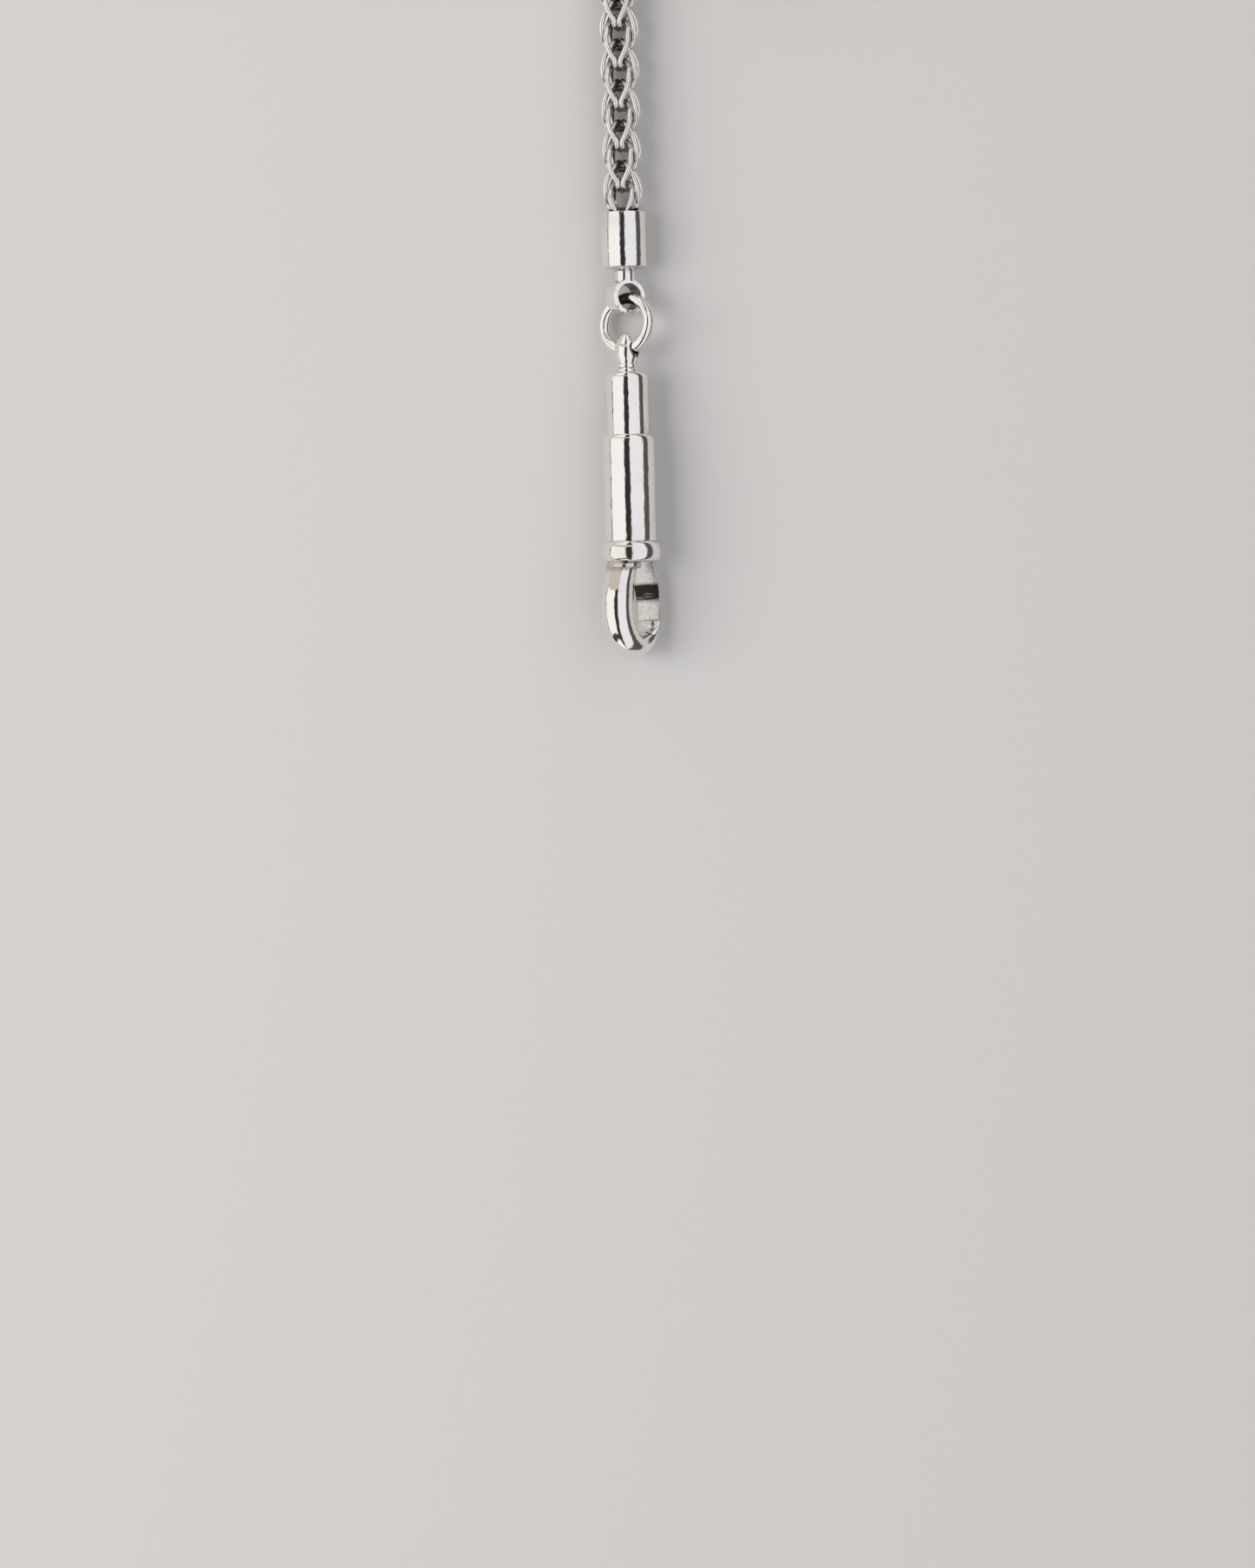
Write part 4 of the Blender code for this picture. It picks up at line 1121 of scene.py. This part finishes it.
class WATCHCHAIN_OT_hook(Operator):
    """Forge the hook with its flange, shank and plug"""
    bl_idname = "watchchain.hook"
    bl_label = "Hook"

    def execute(self, context):
        plan = layout(context)
        clasp = plan.sizes.clasp
        gap = clasp.seat_gap
        plug = clasp.barrel - clasp.barrel_wall - gap
        shank_foot = -gap - 0.15 * clasp.flange_length
        hook = lathe("forged_hook", [
            (shank_foot, 0), (shank_foot, clasp.shank), (plan.barrel_foot + gap, clasp.shank),
            (plan.barrel_foot + gap, plug), (plan.barrel_foot + clasp.plug, plug),
            (plan.barrel_foot + clasp.plug, 0)], closed=False)
        merge_into(hook, skinned("hook_horn", self.horn(clasp)), "UNION")
        half = clasp.flange_length / 2
        edge = arc((-gap - half, clasp.flange - 0.8 * half), (half, 0.8 * half), math.pi, 0,
                   steps=12)
        flange = lathe("hook_flange", [(-gap - 2 * half, 0)] + edge + [(-gap, 0)], closed=False)
        flange.scale.x = clasp.flange_depth / clasp.flange
        flange.location.x = -clasp.flange_offset
        merge_into(hook, flange, "UNION")
        darken(hook, lambda spot: self.seam(spot, clasp))
        settle_silver(context, hook, plan.clasp_frame(), "clasp_core", "hook")
        return {"FINISHED"}

    def seam(self, spot, clasp):
        """Painted shade on the flange and in the corner under it."""
        depth = -spot.y / clasp.flange_length
        if depth < 0:
            return 0.0
        rim = 1 - ease(depth, 1.0, 1.6)
        corner = ease(depth, 0.7, 1.0) * (1 - ease(depth, 1.1, 1.5))
        return 0.3 * rim + 0.3 * corner

    def horn(self, clasp):
        """Rings round the horn, from its root in the flange to its tip under the gate."""
        swell, reach, thick = clasp.hook_swell, clasp.hook_reach, clasp.hook_thick
        root, bend = clasp.hook_root_radius, clasp.hook_bend
        stations = [
            (-clasp.hook_root, 0.3 * clasp.flange_length, 1.08 * root, 0.92 * root),
            (-0.84 * swell, 0.22 * reach, 1.06 * root, root),
            (-0.98 * swell, 0.41 * reach, thick, thick),
            (-swell, 0.58 * reach, thick, thick),
            (-0.88 * swell, 0.76 * reach, thick, thick),
            (-0.52 * swell, 0.92 * reach, thick, 0.9 * thick),
            (0.05 * swell, reach, thick, bend),
            (0.60 * swell, 0.94 * reach, thick, 0.8 * bend),
            (0.92 * swell, 0.82 * reach, clasp.gate_width / 2, 0.55 * clasp.gate_thick),
            (clasp.gate_in + clasp.gate_thick / 2, clasp.gate_length + clasp.tip_gap,
             clasp.gate_width / 2, clasp.gate_thick / 2),
        ]
        line = smooth_line([Vector(s[:2]) for s in stations], steps=8)
        sizes = smooth_line([Vector(s[2:]) for s in stations], steps=8)
        sides = 40
        sections = []
        for i, (spot, size) in enumerate(zip(line, sizes)):
            heading = line[min(i + 1, len(line) - 1)] - line[max(i - 1, 0)]
            if i == 0:
                heading = Vector((0, 1))
            if i == len(line) - 1:
                heading = Vector((0, -1))
            heading.normalize()
            outward = Vector((heading.y, -heading.x))
            ring = []
            for k in range(sides):
                turn = 2 * math.pi * (k + 0.5) / sides
                flat = spot + outward * size.y * math.cos(turn)
                ring.append(Vector((flat.x, -flat.y, size.x * math.sin(turn))))
            sections.append(ring)
        return sections


class WATCHCHAIN_OT_spring(Operator):
    """Wind the gate spring"""
    bl_idname = "watchchain.spring"
    bl_label = "Gate Spring"

    def execute(self, context):
        plan = layout(context)
        clasp = plan.sizes.clasp
        low = clasp.collar_length + clasp.spigot + clasp.spring_wire + clasp.seat_gap
        high = plan.barrel_foot - clasp.spring_wire - clasp.seat_gap
        radius = (clasp.shank + clasp.barrel) / 2
        turn_steps = 32
        steps = turn_steps * clasp.spring_turns
        line = []
        for i in range(steps + 1):
            turn = 2 * math.pi * clasp.spring_turns * i / steps
            line.append(Vector((radius * math.cos(turn), low + (high - low) * i / steps,
                                radius * math.sin(turn))))
        spring = bent_wire("wound_gate_spring", line, clasp.spring_wire, closed=False)
        settle(spring, plan.clasp_frame(), spring_wire(context), "clasp_core", "gate_spring")
        tuple(plan.at(high + clasp.spring_wire, plan.clasp_height))
        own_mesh(spring)
        return {"FINISHED"}


class WATCHCHAIN_OT_stage(Operator):
    """Set up the plain floor, soft light and the camera"""
    bl_idname = "watchchain.stage"
    bl_label = "Stage"

    def execute(self, context):
        finish = context.scene.watch_chain.finish
        floor_size = 8.0
        clear_selection()
        bpy.ops.mesh.primitive_plane_add(size=floor_size, location=(0, 0, -HAIR))
        floor = bpy.context.object
        floor.name = "floor"
        paper = bpy.data.materials.new("plain_floor")
        paper.use_nodes = True
        shader = paper.node_tree.nodes["Principled BSDF"]
        shader.inputs["Base Color"].default_value = (*finish.floor, 1.0)
        shader.inputs["Roughness"].default_value = 0.9
        shader.inputs["Specular IOR Level"].default_value = 0.1
        floor.data.materials.append(paper)
        self.light(context)
        self.view(context)
        return {"FINISHED"}

    def light(self, context):
        """A soft white tent with a dark slit overhead, and screens before and behind."""
        world = context.scene.world or bpy.data.worlds.new("studio")
        context.scene.world = world
        world.use_nodes = True
        tree = world.node_tree
        tree.nodes.clear()
        slit_start, slit_end, blur = 0.384, 0.519, 0.005
        where = add_node(tree, "ShaderNodeTexCoord")
        split = add_node(tree, "ShaderNodeSeparateXYZ")
        lean = add_node(tree, "ShaderNodeMath", operation="ARCTAN2")
        turn = remap(tree, -math.pi / 2, math.pi / 2)
        tent = add_node(tree, "ShaderNodeValToRGB")
        depth = remap(tree, -1.0, 1.0)
        screens = add_node(tree, "ShaderNodeValToRGB")
        left_half = remap(tree, slit_end + 1.4 * blur, slit_end)
        reach = add_node(tree, "ShaderNodeMath", operation="MULTIPLY")
        around = add_node(tree, "ShaderNodeMix", data_type="RGBA")
        glow = add_node(tree, "ShaderNodeBackground", {"Strength": 1.0})
        out = add_node(tree, "ShaderNodeOutputWorld")
        dark, white, slit = (0.12, 0.11, 0.10), (1.00, 0.985, 0.96), (0.04, 0.03, 0.03)
        cool, side = (0.88, 0.87, 0.92), (0.09, 0.09, 0.09)
        self.fill_ramp(tent.color_ramp, [
            (0.00, dark, 1.0), (0.02, dark, 1.0), (0.03, white, 1.0), (slit_start, white, 1.0),
            (slit_start + blur, slit, 1.0), (slit_end, slit, 1.0),
            (slit_end + blur, cool, 1.0), (0.845, cool, 1.0),
            (0.862, side, 1.0), (1.00, side, 1.0),
        ])
        dim, beige = (0.07, 0.05, 0.04), (0.60, 0.56, 0.48)
        self.fill_ramp(screens.color_ramp, [
            (0.00, dim, 0.0), (0.07, dim, 0.0), (0.09, dim, 1.0), (0.150, dim, 1.0),
            (0.165, dim, 0.0), (0.70, beige, 0.0), (0.715, beige, 0.0), (0.73, beige, 1.0),
            (0.80, beige, 1.0), (0.83, beige, 0.0), (1.00, beige, 0.0),
        ])
        wire_up(
            tree,
            (where, "Generated", split, "Vector"),
            (split, "X", lean, 0),
            (split, "Z", lean, 1),
            (lean, "Value", turn, "Value"),
            (turn, "Result", tent, "Fac"),
            (split, "Y", depth, "Value"),
            (depth, "Result", screens, "Fac"),
            (turn, "Result", left_half, "Value"),
            (screens, "Alpha", reach, 0),
            (left_half, "Result", reach, 1),
            (reach, "Value", around, "Factor"),
            (tent, "Color", around, "A"),
            (screens, "Color", around, "B"),
            (around, "Result", glow, "Color"),
            (glow, "Background", out, "Surface"),
        )
        aim = Vector((0.35, 0.0, -0.35))
        clear_selection()
        bpy.ops.object.light_add(type="AREA", location=(-0.35, -0.02, 0.35))
        lamp = bpy.context.object
        lamp.name = "left_softbox"
        lamp.data.shape = "RECTANGLE"
        lamp.data.size = 0.25
        lamp.data.size_y = 0.4
        lamp.data.energy = 1.1
        lamp.visible_glossy = False
        lamp.rotation_euler = aim.to_track_quat("-Z", "Y").to_euler()

    def fill_ramp(self, ramp, stops):
        """Set a colour ramp to the given (place, colour, weight) stops."""
        while len(ramp.elements) < len(stops):
            ramp.elements.new(0.5)
        for element, (spot, tint, weight) in zip(ramp.elements, stops):
            element.position = spot
            element.color = (*tint, weight)

    def view(self, context):
        """Straight down, with the chain a little askew, the collar's foot at a given pixel."""
        plan = layout(context)
        tall, wide = 1806, 1445
        collar_x, collar_y = 727, 648
        pixels_per_metre = 14000.0
        roll = math.radians(1.31)
        height = 0.55
        sensor = 36.0
        right = Vector((math.cos(roll), -math.sin(roll)))
        up = Vector((math.sin(roll), math.cos(roll)))
        collar = plan.at(0, plan.clasp_height)
        centre = (Vector(collar[:2]) - right * ((collar_x - wide / 2) / pixels_per_metre)
                  - up * ((tall / 2 - collar_y) / pixels_per_metre))
        camera = bpy.data.cameras.new("camera")
        camera.sensor_fit = "VERTICAL"
        camera.sensor_height = sensor
        camera.lens = sensor * height / (tall / pixels_per_metre)
        camera.clip_start = 0.01
        camera.clip_end = 10.0
        eye = bpy.data.objects.new("camera", camera)
        context.collection.objects.link(eye)
        eye.location = (centre.x, centre.y, plan.clasp_height + height)
        eye.rotation_euler = (0, 0, -roll)
        context.scene.camera = eye
        context.scene.view_settings.view_transform = "Standard"


class WATCHCHAIN_PT_panel(Panel):
    """Pieces of the watch chain"""
    bl_label = "Watch Chain"
    bl_idname = "WATCHCHAIN_PT_panel"
    bl_space_type = "VIEW_3D"
    bl_region_type = "UI"
    bl_category = "Watch Chain"

    def draw(self, context):
        for piece in PIECES:
            self.layout.operator(piece.bl_idname)


SIZES = (LinkSizes, EndSizes, ClaspSizes, CoilSizes, Finishes, WatchChain)
PIECES = (
    WATCHCHAIN_OT_stage,
    WATCHCHAIN_OT_end_caps,
    WATCHCHAIN_OT_rings,
    WATCHCHAIN_OT_t_bar,
    WATCHCHAIN_OT_coil,
    WATCHCHAIN_OT_links,
    WATCHCHAIN_OT_swivel,
    WATCHCHAIN_OT_barrel,
    WATCHCHAIN_OT_sleeve,
    WATCHCHAIN_OT_gate,
    WATCHCHAIN_OT_hook,
    WATCHCHAIN_OT_spring,
)


def register():
    for made in SIZES + PIECES + (WATCHCHAIN_PT_panel,):
        bpy.utils.register_class(made)
    bpy.types.Scene.watch_chain = PointerProperty(type=WatchChain)


def unregister():
    del bpy.types.Scene.watch_chain
    for made in reversed(SIZES + PIECES + (WATCHCHAIN_PT_panel,)):
        bpy.utils.unregister_class(made)


def main():
    register()
    for piece in PIECES:
        group, call = piece.bl_idname.split(".")
        getattr(getattr(bpy.ops, group), call)()


if __name__ == "__main__":
    main()
